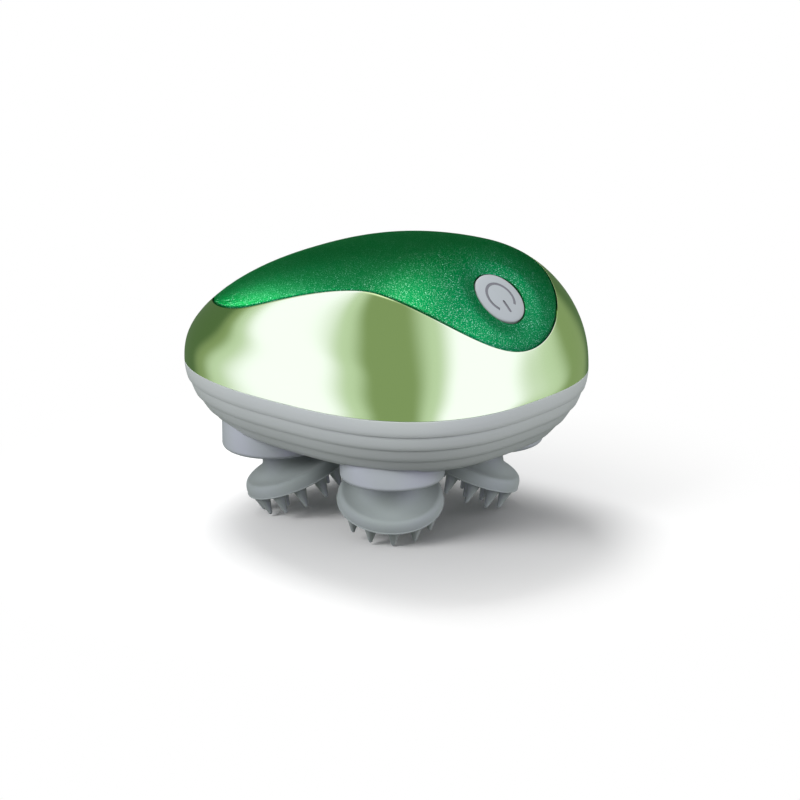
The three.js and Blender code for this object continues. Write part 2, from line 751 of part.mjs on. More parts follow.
function motorPlate() {
  const plateTail = cellX - cellRadius - cradleWall - gap;
  const shape = roundedRectangle(deckEnd - plateTail, deckWidth, plateCorner);
  const plate = toSolid(extruded(shape, plateBottom, plateTop, 2).translate((plateTail + deckEnd) / 2, 0, 0));
  const ribReach = motorSize.flats / 2 + gap + motorRib.thickness / 2;
  const ribs = [-1, 1].map((side) =>
    block(motorRib.thickness, motorRib.length, plateTop - 0.5, plateTop + motorRib.height, motorX + side * ribReach),
  );
  const holes = [
    rod(motorSize.bossRadius + gap, plateBottom - 1, plateTop + 1, tinyFacets, motorX, 0),
    rod(idlerPinRadius + gap, plateBottom - 1, plateTop + 1, tinyFacets, idlerX, 0),
  ];
  for (const [x, y] of stationPlaces) {
    holes.push(rod(spigotRadius + gap, plateBottom - 1, plateTop + 1, spigotFacets, x, y));
  }
  return cutBy(joined(plate, ...ribs), ...holes);
}

// Power

function motor() {
  const seat = plateTop + gap;
  const can = rod(motorSize.radius, seat, seat + motorSize.height, roundFacets);
  const flats = block(motorSize.flats, 4 * motorSize.radius, seat - 1, seat + motorSize.height + 1);
  const endCap = rod(motorSize.flats / 2 - 1, seat + motorSize.height - 1, seat + motorSize.height + 1.2, tinyFacets);
  return joined(
    can.intersect(flats),
    endCap,
    rod(motorSize.bossRadius, seat - motorSize.bossHeight, seat + 1, tinyFacets),
    rod(motorSize.shaftRadius, motorGearBottom, seat, tinyFacets),
  );
}

const cellHeight = plateTop + gap + cradleWall + gap + cellRadius;

function batteryCell() {
  const nub = 1;
  const profile = [
    [0, 0],
    [cellRadius, 0],
    [cellRadius, cellLength - nub],
    [2.6, cellLength - nub],
    [2.6, cellLength],
    [0, cellLength],
  ];
  const geometry = turned(profile, smallFacets).rotateX(-Math.PI / 2);
  return toSolid(geometry.translate(cellX, -cellLength / 2, cellHeight));
}

function batteryCradle() {
  const width = 2 * (cellRadius + gap + cradleWall);
  const length = cellLength + 2 * (gap + cradleWall);
  const tray = block(width, length, plateTop + gap, cellHeight, cellX);
  const trough = turned(ringProfile(cellRadius + gap, 0, 0, cellLength + 2 * gap), smallFacets);
  trough.rotateX(-Math.PI / 2).translate(cellX, -cellLength / 2 - gap, cellHeight);
  const window = block(width + 2, length / 2, plateTop + gap + 3, cellHeight + 1, cellX);
  return cutBy(tray, toSolid(trough), window);
}

// Charging port

function chargingSocket() {
  const { width, height, depth, wall } = socketSize;
  const shell = slotAlongX(width, height, socketFront, socketFront + depth);
  const hollow = slotAlongX(width - 2 * wall, height - 2 * wall, socketFront - 1, socketFront + depth - 1);
  const middle = seamHeight + portHeight;
  const tongue = block(depth - 1.5, width - 2.4, middle - 0.35, middle + 0.35, socketFront + 1.5 + (depth - 1.5) / 2);
  return shell.subtract(hollow).add(tongue);
}

function chargingBoard() {
  const { length, width, inset } = chargingBoardSize;
  const middle = socketFront + inset + length / 2;
  return block(length, width, socketBoardTop - boardThickness, socketBoardTop, middle);
}

function portPlug() {
  const face = slotAlongX(...plugSize, -halfLength - 1, -halfLength / 2);
  const { width, height, wall } = socketSize;
  const stubWidth = width - 2 * wall - 2 * gap;
  const stub = slotAlongX(stubWidth, height - 2 * wall - 2 * gap, -halfLength + plugThickness + 0.6, socketFront + 1);
  return face.intersect(dome(plugSink)).subtract(dome(plugSink + plugThickness)).add(stub);
}

// Drum and head, in the frame of their station: +X points to the middle of the housing

const headFrame = new THREE.Matrix4()
  .makeTranslation(0, 0, pivotHeight)
  .multiply(new THREE.Matrix4().makeRotationY(-headTilt));

// Depths along the pin, from the pivot downwards
const pinTop = -0.2;
const pinSocketDepth = 3.2;
const hubTop = neckTop - gap;
const hubFlangeBottom = discDrop - skinThickness - gap;
const hubFlangeTop = hubFlangeBottom - hubFlangeThickness;
const hubSeat = hubFlangeTop - 0.9;
const hubTaper = hubSeat - 2;
const pinShoulder = hubSeat + gap;
const pinEnd = pinShoulder + pinHeadThickness;
const headSeat = pinHeadRadius + gap; // counterbore of the hub round the head of the pin
const hubBossRadius = headSeat + 1.6;

function drum() {
  const cavityRoof = drumTop - drumWeb;
  const corner = new THREE.EllipseCurve(drumRadius - drumEdge, drumBottom + drumEdge, drumEdge, drumEdge, -Math.PI / 2, 0);
  const cup = [
    [0, cavityRoof],
    [drumRadius - drumWall, cavityRoof],
    [drumRadius - drumWall, drumBottom],
    ...corner.getPoints(1).map((p) => [p.x, p.y]),
    [drumRadius, drumTop],
    [0, drumTop],
  ];
  const inclined = (radius, top, bottom) =>
    toSolid(turned(ringProfile(radius, 0, -bottom, -top), tinyFacets).applyMatrix4(headFrame));
  return cutBy(
    joined(
      toSolid(turned(cup, roundFacets)),
      inclined(pinRadius + gap + 1.6, 0.4, pinSocketDepth),
      rod(journalRadius, drumTop - 1, headGearBottom - gap / 2, smallFacets),
      hexPrism(hexRadius, headGearBottom - 0.5, headGearTop),
      rod(topJournalRadius, headGearTop - 0.5, deckTop - gap, tinyFacets),
    ),
    inclined(pinRadius + gap, pinTop - gap, pinSocketDepth + 1),
  );
}

// Steel pin with a flat head under the hub
function headPin() {
  const profile = [
    [0, -pinEnd],
    [pinHeadRadius, -pinEnd],
    [pinHeadRadius, -pinShoulder],
    [pinRadius, -pinShoulder],
    [pinRadius, -pinTop],
    [0, -pinTop],
  ];
  return toSolid(turned(profile, tinyFacets));
}

function headHub() {
  const profile = [
    [headSeat, -hubFlangeBottom],
    [hubFlangeRadius, -hubFlangeBottom],
    [hubFlangeRadius, -hubFlangeTop],
    [hubBossRadius, -hubFlangeTop],
    [hubNeckRadius, -hubTaper],
    [hubNeckRadius, -hubTop],
    [pinRadius + gap, -hubTop],
    [pinRadius + gap, -hubSeat],
    [headSeat, -hubSeat],
    [headSeat, -hubFlangeBottom],
  ];
  return toSolid(turned(profile, hubFacets));
}

// Silicone head: neck, trumpet flare, bevelled rim and rings of tapering fingers, hollow for its hub.
function massageHead() {
  const flareBottom = discDrop - rimHeight;
  const rimTopRadius = discRadius - rimBevel;
  const steps = 4;
  const flare = Array.from({ length: steps + 1 }, (_, i) => {
    const angle = (Math.PI / 2) * (i / steps);
    return [
      rimTopRadius - (rimTopRadius - neckRadius) * Math.sin(angle),
      -flareBottom + (flareBottom - flareTop) * (1 - Math.cos(angle)),
    ];
  });
  const outside = [[0, -discDrop], [discRadius, -discDrop]];
  outside.push(...flare, [neckRadius, -neckTop], [0, -neckTop]);
  const hollow = [
    [0, -hubFlangeBottom - gap],
    [hubFlangeRadius + gap, -hubFlangeBottom - gap],
    [hubFlangeRadius + gap, -hubFlangeTop + gap],
    [hubBossRadius + gap, -hubFlangeTop + gap],
    [hubNeckRadius + gap, -hubTaper + gap],
    [hubNeckRadius + gap, -neckTop + 1],
    [0, -neckTop + 1],
  ];
  const fingers = [];
  for (const { count, radius } of fingerRings) {
    for (let i = 0; i < count; i++) {
      const angle = Math.PI + (i * 2 * Math.PI) / count;
      const finger = turned(fingerProfile(), fingerFacets).rotateZ(angle + Math.PI / 2);
      fingers.push(toSolid(finger.translate(radius * Math.cos(angle), radius * Math.sin(angle), 0)));
    }
  }
  const body = toSolid(turned(outside, roundFacets)).subtract(toSolid(turned(hollow, hubFacets)));
  return joined(body, ...fingers);
}

function fingerProfile() {
  return [
    [0, -headReach],
    [fingerTip, -headReach],
    [fingerRoot, -discDrop],
    [fingerRoot, -discDrop + 0.3],
    [0, -discDrop + 0.3],
  ];
}

// Assembly
const massager = new THREE.Group();

function addPiece(parent, name, solid, material) {
  const mesh = new THREE.Mesh(solid.isBufferGeometry ? solid : toGeometry(solid), material);
  mesh.name = name;
  parent.add(mesh);
  return mesh;
}

const housing = new THREE.Group();
massager.add(housing);
addPiece(housing, "upper_shell", upperShell(), coatedShell);
addPiece(housing, "grip_cover", gripCover(), gripSkin);
addPiece(housing, "lower_shell", lowerShell(), greyPlastic);
addPiece(housing, "port_plug", portPlug(), darkRubber);
const screwGeometry = toGeometry(caseScrew());
for (const [place, [x, y]] of Object.entries(screwPlaces)) {
  addPiece(housing, `${place}_case_screw`, screwGeometry, steel).position.set(x, y, 0);
}

const buttonGroup = new THREE.Group();
buttonGroup.applyMatrix4(buttonFrame);
massager.add(buttonGroup);
addPiece(buttonGroup, "power_button", powerButton(), lilacPlastic);
addPiece(buttonGroup, "switch_board", switchBoard(), circuitBoard);
addPiece(buttonGroup, "tact_switch", tactSwitch(), blackPlastic);

const drive = new THREE.Group();
massager.add(drive);
addPiece(drive, "gear_deck", gearDeck(), whitePlastic);
addPiece(drive, "motor_plate", motorPlate(), whitePlastic);
addPiece(drive, "motor", motor(), steel).position.x = motorX;
addPiece(drive, "battery_cell", batteryCell(), cellWrap);
addPiece(drive, "battery_cradle", batteryCradle(), blackPlastic);
addPiece(drive, "charging_socket", chargingSocket(), steel);
addPiece(drive, "charging_board", chargingBoard(), circuitBoard);
addPiece(drive, "sun_gear", sunGear(), whitePlastic);
addPiece(drive, "bull_gear", bullGear(), whitePlastic);
addPiece(drive, "idler_gear", idlerGear(), whitePlastic).position.x = idlerX;
const idlerPin = rod(idlerPinRadius, deckBottom + 0.1, plateTop - 0.1, smallFacets, idlerX, 0);
addPiece(drive, "idler_pin", idlerPin, steel);
addPiece(drive, "motor_pinion", motorPinion(), brass).position.x = motorX;

const shared = {
  drum: toGeometry(drum()),
  planet: toGeometry(planetGear()),
  pin: toGeometry(headPin()),
  hub: toGeometry(headHub()),
  head: toGeometry(massageHead()),
};
for (const { name, angle } of stations) {
  const station = new THREE.Group();
  station.position.set(stationRadius * Math.cos(angle), stationRadius * Math.sin(angle), 0);
  station.rotation.z = angle + Math.PI;
  massager.add(station);
  addPiece(station, `${name}_drum`, shared.drum, lilacPlastic);
  addPiece(station, `${name}_planet_gear`, shared.planet, whitePlastic);
  const leaning = new THREE.Group();
  leaning.applyMatrix4(headFrame);
  station.add(leaning);
  addPiece(leaning, `${name}_head_pin`, shared.pin, steel);
  addPiece(leaning, `${name}_head_hub`, shared.hub, whitePlastic);
  addPiece(leaning, `${name}_massage_head`, shared.head, silicone);
}

export default massager;
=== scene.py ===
# Looks of an electric scalp massager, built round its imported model.
import json
import math

import bmesh
import bpy
import numpy as np
from mathutils import Matrix, Vector
from mathutils.geometry import interpolate_bezier

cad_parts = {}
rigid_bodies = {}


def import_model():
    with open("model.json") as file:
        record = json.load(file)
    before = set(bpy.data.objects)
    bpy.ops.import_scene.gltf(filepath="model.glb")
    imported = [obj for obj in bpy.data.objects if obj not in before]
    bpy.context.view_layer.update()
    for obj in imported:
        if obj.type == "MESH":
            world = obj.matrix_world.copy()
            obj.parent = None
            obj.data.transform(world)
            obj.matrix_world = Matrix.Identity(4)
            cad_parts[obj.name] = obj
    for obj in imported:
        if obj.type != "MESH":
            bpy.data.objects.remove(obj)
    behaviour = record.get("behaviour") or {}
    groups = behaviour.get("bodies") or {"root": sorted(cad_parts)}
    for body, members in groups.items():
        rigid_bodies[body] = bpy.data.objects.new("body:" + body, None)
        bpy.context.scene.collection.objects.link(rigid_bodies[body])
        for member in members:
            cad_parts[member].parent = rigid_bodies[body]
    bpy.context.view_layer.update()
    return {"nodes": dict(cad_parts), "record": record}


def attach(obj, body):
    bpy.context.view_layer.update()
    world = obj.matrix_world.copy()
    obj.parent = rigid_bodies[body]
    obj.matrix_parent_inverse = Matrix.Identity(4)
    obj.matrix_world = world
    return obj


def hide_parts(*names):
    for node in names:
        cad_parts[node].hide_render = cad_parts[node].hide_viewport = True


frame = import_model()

nodes = frame["nodes"]
print("frame loaded:", len(nodes), "nodes")

# Shapes are worked out in millimetres and scaled once at the end.
mm = 0.001
gap = 0.3  # round the cover
seamGap = 0.05  # half of the line between the two shells, as it shows
weld = 1e-4  # points closer than this are one

# Housing: outline, dome and stepped bowl
housing = {
    "halfLength": 52.46,
    "halfWidth": 44.97,
    "widestX": 5.775,
    "nosePower": 2.58,  # fullness of the outline
    "tailPower": 2.62,
    "domeHeight": 34.7,
    "peakX": 16.38,
    "noseFall": (2.13, 1.64),  # powers of the ridge line
    "tailFall": (2.1, 1.7),
    "crownPower": 2.46,  # fullness across the ridge
    "undersideZ": 22.98937,  # over the plane that the heads stand on
    "bowlDepth": 17.3,  # from the seam down to the underside
    "bowlFlare": 10.2,
    "bowlPower": 1.95,
    "ringHeights": (4.5, 4.1, 3.8, 3.4),
    "ringStep": 0.45,
    "steps": 256,  # faces round the outline
}
underside = housing["undersideZ"]
seam = underside + housing["bowlDepth"]


def endReach(x, nose, inset):
    # From x to the nose or to the tail
    return housing["halfLength"] - inset - (x if nose else -x)


def planRadius(turn, inset=0.0):
    # Distance from the widest point's centre to the outline along a turn
    along = math.cos(turn)
    across = abs(math.sin(turn))
    nose = along >= 0
    power = housing["nosePower" if nose else "tailPower"]
    reach = endReach(housing["widestX"], nose, inset)
    share = (abs(along) / reach) ** power + (across / (housing["halfWidth"] - inset)) ** power
    return share ** (-1 / power)


def planHalfWidth(x, inset=0.0):
    nose = x >= housing["widestX"]
    power = housing["nosePower" if nose else "tailPower"]
    share = min(abs(x - housing["widestX"]) / endReach(housing["widestX"], nose, inset), 1.0)
    return (housing["halfWidth"] - inset) * (1 - share**power) ** (1 / power)


def ridgeHeight(x, inset=0.0):
    # Height of the dome's ridge over the seam
    nose = x >= housing["peakX"]
    inner, outer = housing["noseFall" if nose else "tailFall"]
    share = min(abs(x - housing["peakX"]) / endReach(housing["peakX"], nose, inset), 1.0)
    return (housing["domeHeight"] - inset) * (1 - share**inner) ** (1 / outer)


def domeZ(x, y, inset=0.0):
    width = planHalfWidth(x, inset)
    share = min(abs(y) / width, 1.0) if width > 1e-6 else 1.0
    power = housing["crownPower"]
    return seam + ridgeHeight(x, inset) * (1 - share**power) ** (1 / power)


def onDome(x, y, inset=0.0):
    return Vector((x, y, domeZ(x, y, inset)))


def bowlInset(depth):
    # How far the bowl has drawn in at a depth under the seam
    return housing["bowlFlare"] * (depth / housing["bowlDepth"]) ** housing["bowlPower"]


# Mesh tools


def polar(radius, turn):
    return radius * math.cos(turn), radius * math.sin(turn)


def quarterTurns(count, start=0):
    return [math.pi / 2 * i / count for i in range(start, count + 1)]


def arcPoints(centreR, centreZ, radius, fromTurn, toTurn, count):
    # Points of a rounding in a profile, turns in degrees
    points = []
    for i in range(count + 1):
        out, up = polar(radius, math.radians(fromTurn + (toTurn - fromTurn) * i / count))
        points.append((centreR + out, centreZ + up))
    return points


def rod(bottom, *parts):
    # Profile of a round rod in parts, each with its radius and the height that it ends at
    profile = [(0, bottom)]
    for radius, top in parts:
        profile += [(radius, bottom), (radius, top)]
        bottom = top
    return profile + [(0, bottom)]


def spinChain(profile, steps, place, closed=False):
    # A chain of profile points is spun once round, then each vertex goes where place says.
    # A profile point that starts with None stands on the axis.
    bm = bmesh.new()
    chain = [bm.verts.new((0.0 if point[0] is None else 1.0, 0.0, float(i)))
             for i, point in enumerate(profile)]
    pairs = [pair for pair in zip(chain, chain[1:]) if pair[0].co.x + pair[1].co.x > 0]
    if closed:
        pairs.append((chain[-1], chain[0]))
    edges = [bm.edges.new(pair) for pair in pairs]
    bmesh.ops.spin(bm, geom=chain + edges, cent=(0, 0, 0), axis=(0, 0, 1), angle=2 * math.pi,
                   steps=steps, use_merge=True)
    bmesh.ops.remove_doubles(bm, verts=bm.verts[:], dist=weld)
    for v in bm.verts:
        v.co = place(profile[round(v.co.z)], math.atan2(v.co.y, v.co.x))
    bmesh.ops.recalc_face_normals(bm, faces=bm.faces[:])
    return bm


def lathe(profile, steps):
    # Profile of (radius, z)
    def place(point, turn):
        return Vector((*polar(point[0] or 0, turn), point[1]))

    return spinChain([(radius or None, z) for radius, z in profile], steps, place)


def moved(bm, matrix):
    bmesh.ops.transform(bm, matrix=matrix, verts=bm.verts[:])
    return bm


def shiftTo(x, y, z=0.0):
    return Matrix.Translation((x, y, z))


def block(size, middle):
    bm = bmesh.new()
    bmesh.ops.create_cube(bm, size=1.0)
    bmesh.ops.scale(bm, vec=size, verts=bm.verts[:])
    bmesh.ops.translate(bm, vec=middle, verts=bm.verts[:])
    return bm


def newObject(bm, name, material=None):
    mesh = bpy.data.meshes.new(name)
    bm.to_mesh(mesh)
    bm.free()
    if material:
        mesh.materials.append(material)
    obj = bpy.data.objects.new(name, mesh)
    bpy.context.scene.collection.objects.link(obj)
    return obj


def combine(obj, bm, operation, material=None):
    # One exact boolean, applied, after which its tool is gone
    tool = newObject(bm, "tool", material)
    modifier = obj.modifiers.new("cut", "BOOLEAN")
    modifier.operation = operation
    modifier.solver = "EXACT"
    modifier.object = tool
    modifier.material_mode = "TRANSFER"
    graph = bpy.context.evaluated_depsgraph_get()
    mesh = bpy.data.meshes.new_from_object(obj.evaluated_get(graph), depsgraph=graph)
    obj.modifiers.clear()
    old = obj.data
    obj.data = mesh
    bpy.data.meshes.remove(old)
    bpy.data.objects.remove(tool)


def mergeAll(parts):
    # Joins loose bmeshes that don't touch each other
    whole = bmesh.new()
    for part in parts:
        mesh = bpy.data.meshes.new("part")
        part.to_mesh(mesh)
        part.free()
        whole.from_mesh(mesh)
        bpy.data.meshes.remove(mesh)
    return whole


def finishPiece(obj, body, replaced, slot, shown=None, sharp=32.0):
    # Millimetres to metres, smooth shading with crisp edges, materials, body and slot
    bm = bmesh.new()
    bm.from_mesh(obj.data)
    bmesh.ops.remove_doubles(bm, verts=bm.verts[:], dist=weld)
    bmesh.ops.scale(bm, vec=(mm, mm, mm), verts=bm.verts[:])
    limit = math.radians(sharp)
    for face in bm.faces:
        face.smooth = True
    for edge in bm.edges:
        edge.smooth = not edge.is_manifold or edge.calc_face_angle(0.0) < limit
    bm.to_mesh(obj.data)
    bm.free()
    shown = shown or [slot]
    slots = [face.material_index for face in obj.data.polygons]
    obj.data.materials.clear()
    for name in shown:
        obj.data.materials.append(materials[name])
    for face, index in zip(obj.data.polygons, slots):
        face.material_index = min(index, len(shown) - 1)
    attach(obj, body)
    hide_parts(replaced)


# Shader node groups, shared by the finishes


def node(tree, kind, inputs=None, **settings):
    # A new node; each of its inputs takes another node's output or a plain value
    added = tree.nodes.new(kind)
    for key, value in settings.items():
        setattr(added, key, value)
    for key, value in (inputs or {}).items():
        if isinstance(value, bpy.types.NodeSocket):
            tree.links.new(value, added.inputs[key])
        else:
            added.inputs[key].default_value = value
    return added


def calc(tree, operation, *values):
    return node(tree, "ShaderNodeMath", dict(enumerate(values)), operation=operation).outputs[0]


def mapRange(tree, value, fromRange, toRange=(0.0, 1.0), kind="SMOOTHSTEP"):
    labels = ("Value", "From Min", "From Max", "To Min", "To Max")
    inputs = dict(zip(labels, (value, *fromRange, *toRange)))
    return node(tree, "ShaderNodeMapRange", inputs, interpolation_type=kind).outputs["Result"]


def mixColor(tree, factor, plain, other):
    inputs = {"Factor": factor, "A": plain, "B": other}
    return node(tree, "ShaderNodeMix", inputs, data_type="RGBA").outputs["Result"]


def newGroup(name, inputs, outputs):
    group = bpy.data.node_groups.new(name, "ShaderNodeTree")
    for label, value in inputs:
        kind = "NodeSocketColor" if isinstance(value, tuple) else "NodeSocketFloat"
        socket = group.interface.new_socket(label, in_out="INPUT", socket_type=kind)
        socket.default_value = value
    for label, kind in outputs:
        group.interface.new_socket(label, in_out="OUTPUT", socket_type=kind)
    entry = group.nodes.new("NodeGroupInput").outputs
    leave = group.nodes.new("NodeGroupOutput").inputs
    place = group.nodes.new("ShaderNodeTexCoord").outputs["Object"]
    return group, entry, leave, place


def buildGrainGroup():
    # Fine grain: small pebbles broken up by noise, height 0 to 1
    inputs = [("Scale", 1500.0), ("Pebble", 0.5)]
    group, entry, leave, place = newGroup("fineGrain", inputs, [("Height", "NodeSocketFloat")])
    spots = {"Vector": place, "Scale": entry["Scale"]}
    noise = node(group, "ShaderNodeTexNoise", {**spots, "Detail": 3.0, "Roughness": 0.6})
    cells = node(group, "ShaderNodeTexVoronoi", spots, feature="SMOOTH_F1")
    mix = node(group, "ShaderNodeMix", {
        "Factor": entry["Pebble"], "A": noise.outputs["Fac"], "B": cells.outputs["Distance"]})
    group.links.new(mix.outputs["Result"], leave["Height"])
    return group


def buildDriftGroup():
    # Slow change of tone and roughness over the surface
    inputs = [("Color", (0.5, 0.5, 0.5, 1)), ("Amount", 0.05), ("Scale", 60.0),
              ("Roughness", 0.4), ("Spread", 0.04)]
    outputs = [("Color", "NodeSocketColor"), ("Roughness", "NodeSocketFloat")]
    group, entry, leave, place = newGroup("toneDrift", inputs, outputs)
    noise = node(group, "ShaderNodeTexNoise", {
        "Vector": place, "Scale": entry["Scale"], "Detail": 5.0, "Roughness": 0.55})
    centred = calc(group, "SUBTRACT", noise.outputs["Fac"], 0.5)
    tone = calc(group, "MULTIPLY_ADD", centred, entry["Amount"], 1.0)
    tint = node(group, "ShaderNodeVectorMath", {0: entry["Color"]}, operation="SCALE")
    group.links.new(tone, tint.inputs["Scale"])
    rough = calc(group, "MULTIPLY_ADD", centred, entry["Spread"], entry["Roughness"])
    group.links.new(tint.outputs["Vector"], leave["Color"])
    group.links.new(rough, leave["Roughness"])
    return group


def buildFlakeGroup():
    # Sparse bright specks, mask 0 to 1
    inputs = [("Scale", 2400.0), ("From", 0.5), ("To", 0.7)]
    group, entry, leave, place = newGroup("flakeMask", inputs, [("Mask", "NodeSocketFloat")])
    noise = node(group, "ShaderNodeTexNoise", {
        "Vector": place, "Scale": entry["Scale"], "Detail": 2.0, "Roughness": 0.7})
    mask = mapRange(group, noise.outputs["Fac"], (entry["From"], entry["To"]))
    group.links.new(mask, leave["Mask"])
    return group


grainGroup = buildGrainGroup()
driftGroup = buildDriftGroup()
flakeGroup = buildFlakeGroup()

# What a finish has unless it says otherwise
plainFinish = {
    "drift": 0.06, "driftScale": 70.0, "roughSpread": 0.06,
    "grain": 0.1, "grainScale": 1500.0, "grainDepth": 0.0001, "pebble": 0.5,
    "sockets": {},
}
finishes = {
    "coated_shell": {
        "color": (0.62, 0.79, 0.42), "rough": 0.1, "roughSpread": 0.02,
        "drift": 0.02, "driftScale": 30.0,
        "grain": 0.01, "grainScale": 900.0, "pebble": 0.0,
        "sockets": {"Metallic": 1.0},
    },
    "grip_skin": {
        "color": (0.001, 0.135, 0.033), "rough": 0.42, "roughSpread": 0.08,
        "drift": 0.08, "driftScale": 40.0,
        "grain": 0.6, "grainScale": 3000.0, "pebble": 0.0, "grainDepth": 0.00015,
        "flakes": {"color": (0.36, 0.66, 0.50), "Scale": 3400.0, "From": 0.54, "To": 0.8},
        "sockets": {"Metallic": 1.0, "Specular Tint": (0.1, 0.5, 0.25, 1)},
    },
    "grey_plastic": {
        "color": (0.50, 0.535, 0.535), "rough": 0.48, "grain": 0.12, "grainScale": 1700.0,
        "sockets": {"Specular IOR Level": 0.4},
    },
    "lilac_plastic": {
        "color": (0.375, 0.405, 0.435), "rough": 0.42, "grain": 0.08, "grainScale": 1700.0,
        "sockets": {"Specular IOR Level": 0.45},
    },
    "silicone": {
        "color": (0.275, 0.31, 0.31), "rough": 0.55,
        "grain": 0.12, "grainScale": 1300.0, "drift": 0.08,
        "sockets": {"Sheen Weight": 0.2, "Sheen Roughness": 0.5},
    },
    "dark_rubber": {
        "color": (0.025, 0.027, 0.03), "rough": 0.75, "grain": 0.2, "grainScale": 1400.0,
    },
    "white_plastic": {
        "color": (0.78, 0.77, 0.71), "rough": 0.45, "grain": 0.06, "driftScale": 120.0,
    },
    "steel": {
        "color": (0.56, 0.57, 0.58), "rough": 0.28, "grain": 0.05, "driftScale": 300.0,
        "sockets": {"Metallic": 1.0},
    },
    "brass": {
        "color": (0.60, 0.42, 0.15), "rough": 0.3, "grain": 0.05, "driftScale": 300.0,
        "sockets": {"Metallic": 1.0},
    },
    "circuit_board": {
        "color": (0.015, 0.12, 0.045), "rough": 0.35, "grain": 0.1, "grainScale": 600.0,
        "sockets": {"Coat Weight": 0.3},
    },
    "black_plastic": {
        "color": (0.02, 0.02, 0.022), "rough": 0.5, "grain": 0.15,
    },
    "cell_wrap": {
        "color": (0.04, 0.17, 0.45), "rough": 0.3, "grain": 0.05,
        "sockets": {"Coat Weight": 0.4},
    },
    "button_plastic": {
        "color": (0.34, 0.375, 0.38), "rough": 0.42, "grain": 0.08, "grainScale": 1700.0,
        "sockets": {"Specular IOR Level": 0.45},
    },
    # Darker colour for the engraved power sign: painted shade in the groove, not a colour of its own
    "groove": {
        "color": (0.15, 0.155, 0.165), "rough": 0.6, "grain": 0.05,
    },
}


def finishMaterial(name, spec):
    # One plain recipe: drifting colour and roughness, fine grain as bump
    spec = {**plainFinish, **spec}
    material = bpy.data.materials.new(name)
    material.use_nodes = True
    tree = material.node_tree
    shader = tree.nodes["Principled BSDF"]
    drift = node(tree, "ShaderNodeGroup", {
        "Color": (*spec["color"], 1), "Amount": spec["drift"], "Scale": spec["driftScale"],
        "Roughness": spec["rough"], "Spread": spec["roughSpread"]}, node_tree=driftGroup)
    grain = node(tree, "ShaderNodeGroup", {
        "Scale": spec["grainScale"], "Pebble": spec["pebble"]}, node_tree=grainGroup)
    bump = node(tree, "ShaderNodeBump", {
        "Strength": spec["grain"], "Distance": spec["grainDepth"], "Height": grain.outputs["Height"]})
    tone = drift.outputs["Color"]
    if "flakes" in spec:
        sizes = {label: spec["flakes"][label] for label in ("Scale", "From", "To")}
        flakes = node(tree, "ShaderNodeGroup", sizes, node_tree=flakeGroup)
        tone = mixColor(tree, flakes.outputs["Mask"], tone, (*spec["flakes"]["color"], 1))
    tree.links.new(tone, shader.inputs["Base Color"])
    tree.links.new(drift.outputs["Roughness"], shader.inputs["Roughness"])
    tree.links.new(bump.outputs["Normal"], shader.inputs["Normal"])
    for label, value in spec["sockets"].items():
        shader.inputs[label].default_value = value
    return material


materials = {name: finishMaterial(name, spec) for name, spec in finishes.items()}
slotOf = {row["node"]: row["material_slot"] for row in frame["record"]["subparts"]}
for name, obj in nodes.items():
    obj.data.materials.clear()
    obj.data.materials.append(materials[slotOf[name]])
print("finishes made:", len(materials))

# Grip cover and its soft dish round the button
cover = {
    # Right half of the outline from tail to nose: each curve has a knot, two handles, a knot
    "outline": (
        ((-45.8, 0.0), (-45.8, -19.0), (-33.0, -36.4), (-14.5, -36.4)),
        ((-14.5, -36.4), (-4.0, -36.4), (10.0, -30.6), (24.0, -28.4)),
        ((24.0, -28.4), (37.5, -26.2), (48.8, -18.5), (48.8, 0.0)),
    ),
    "curvePoints": 160,
    "thickness": 1.8,
    "edge": 0.35,  # rounding of the visible edges
    "dishRadius": 13.0,
    "dishFloor": 6.5,
    "dishDepth": 0.9,
    "rings": 44,
    "spread": 1.6,  # the rings stand closer round the button
    "underRings": 12,
    "underSpread": 0.7,
    "steps": 320,
}
button = {
    "x": 40.0,
    "radius": 7.45,
    "edge": -1.2,  # depth of the rim along the button's axis
    "crown": 0.3,
    "rounding": (0.4, 78.0, 0.02),  # radius, degrees, lift to meet the crown
    "flange": {"beyond": 1.6, "bottom": -5.75, "top": -4.75},
    "stem": {"radius": 1.6, "bottom": -7.95},
    "hole": 7.75,
    "seat": 9.65,
    "seatDepth": -4.45,
    "wellReach": (-30.0, 4.0),  # of the tool that cuts the hole and the seat
    "crownRings": 9,
    "signRadius": 4.25,
    "signWidth": 0.8,
    "signDepth": 0.18,
    "signGap": 45.0,  # degrees to either side of the bar
    "bar": (1.0, 4.8),
    "barEnds": 0.95,  # how round they are, from 0 to 1
}


def coverCurve():
    points = []
    for curve in cover["outline"]:
        knots = [Vector((x, y, 0)) for x, y in curve]
        points += interpolate_bezier(*knots, cover["curvePoints"])[:-1]
    points.append(knots[-1])
    mirrored = [Vector((p.x, -p.y, 0)) for p in reversed(points[1:-1])]
    return np.array([p[:2] for p in points + mirrored])


def rayTable(centreX, margin):
    # Distance from (centreX, 0) to the cover's outline, grown by margin, for a turn
    curve = coverCurve()
    along = np.roll(curve, -1, 0) - np.roll(curve, 1, 0)
    along /= np.linalg.norm(along, axis=1)[:, None]
    grown = curve + margin * np.stack([along[:, 1], -along[:, 0]], 1)
    turns = np.arctan2(grown[:, 1], grown[:, 0] - centreX)
    reach = np.hypot(grown[:, 1], grown[:, 0] - centreX)
    order = np.argsort(turns)
    turns = turns[order]
    reach = reach[order]
    turns = np.concatenate([turns[-4:] - 2 * math.pi, turns, turns[:4] + 2 * math.pi])
    reach = np.concatenate([reach[-4:], reach, reach[:4]])
    return lambda turn: float(np.interp(turn, turns, reach))


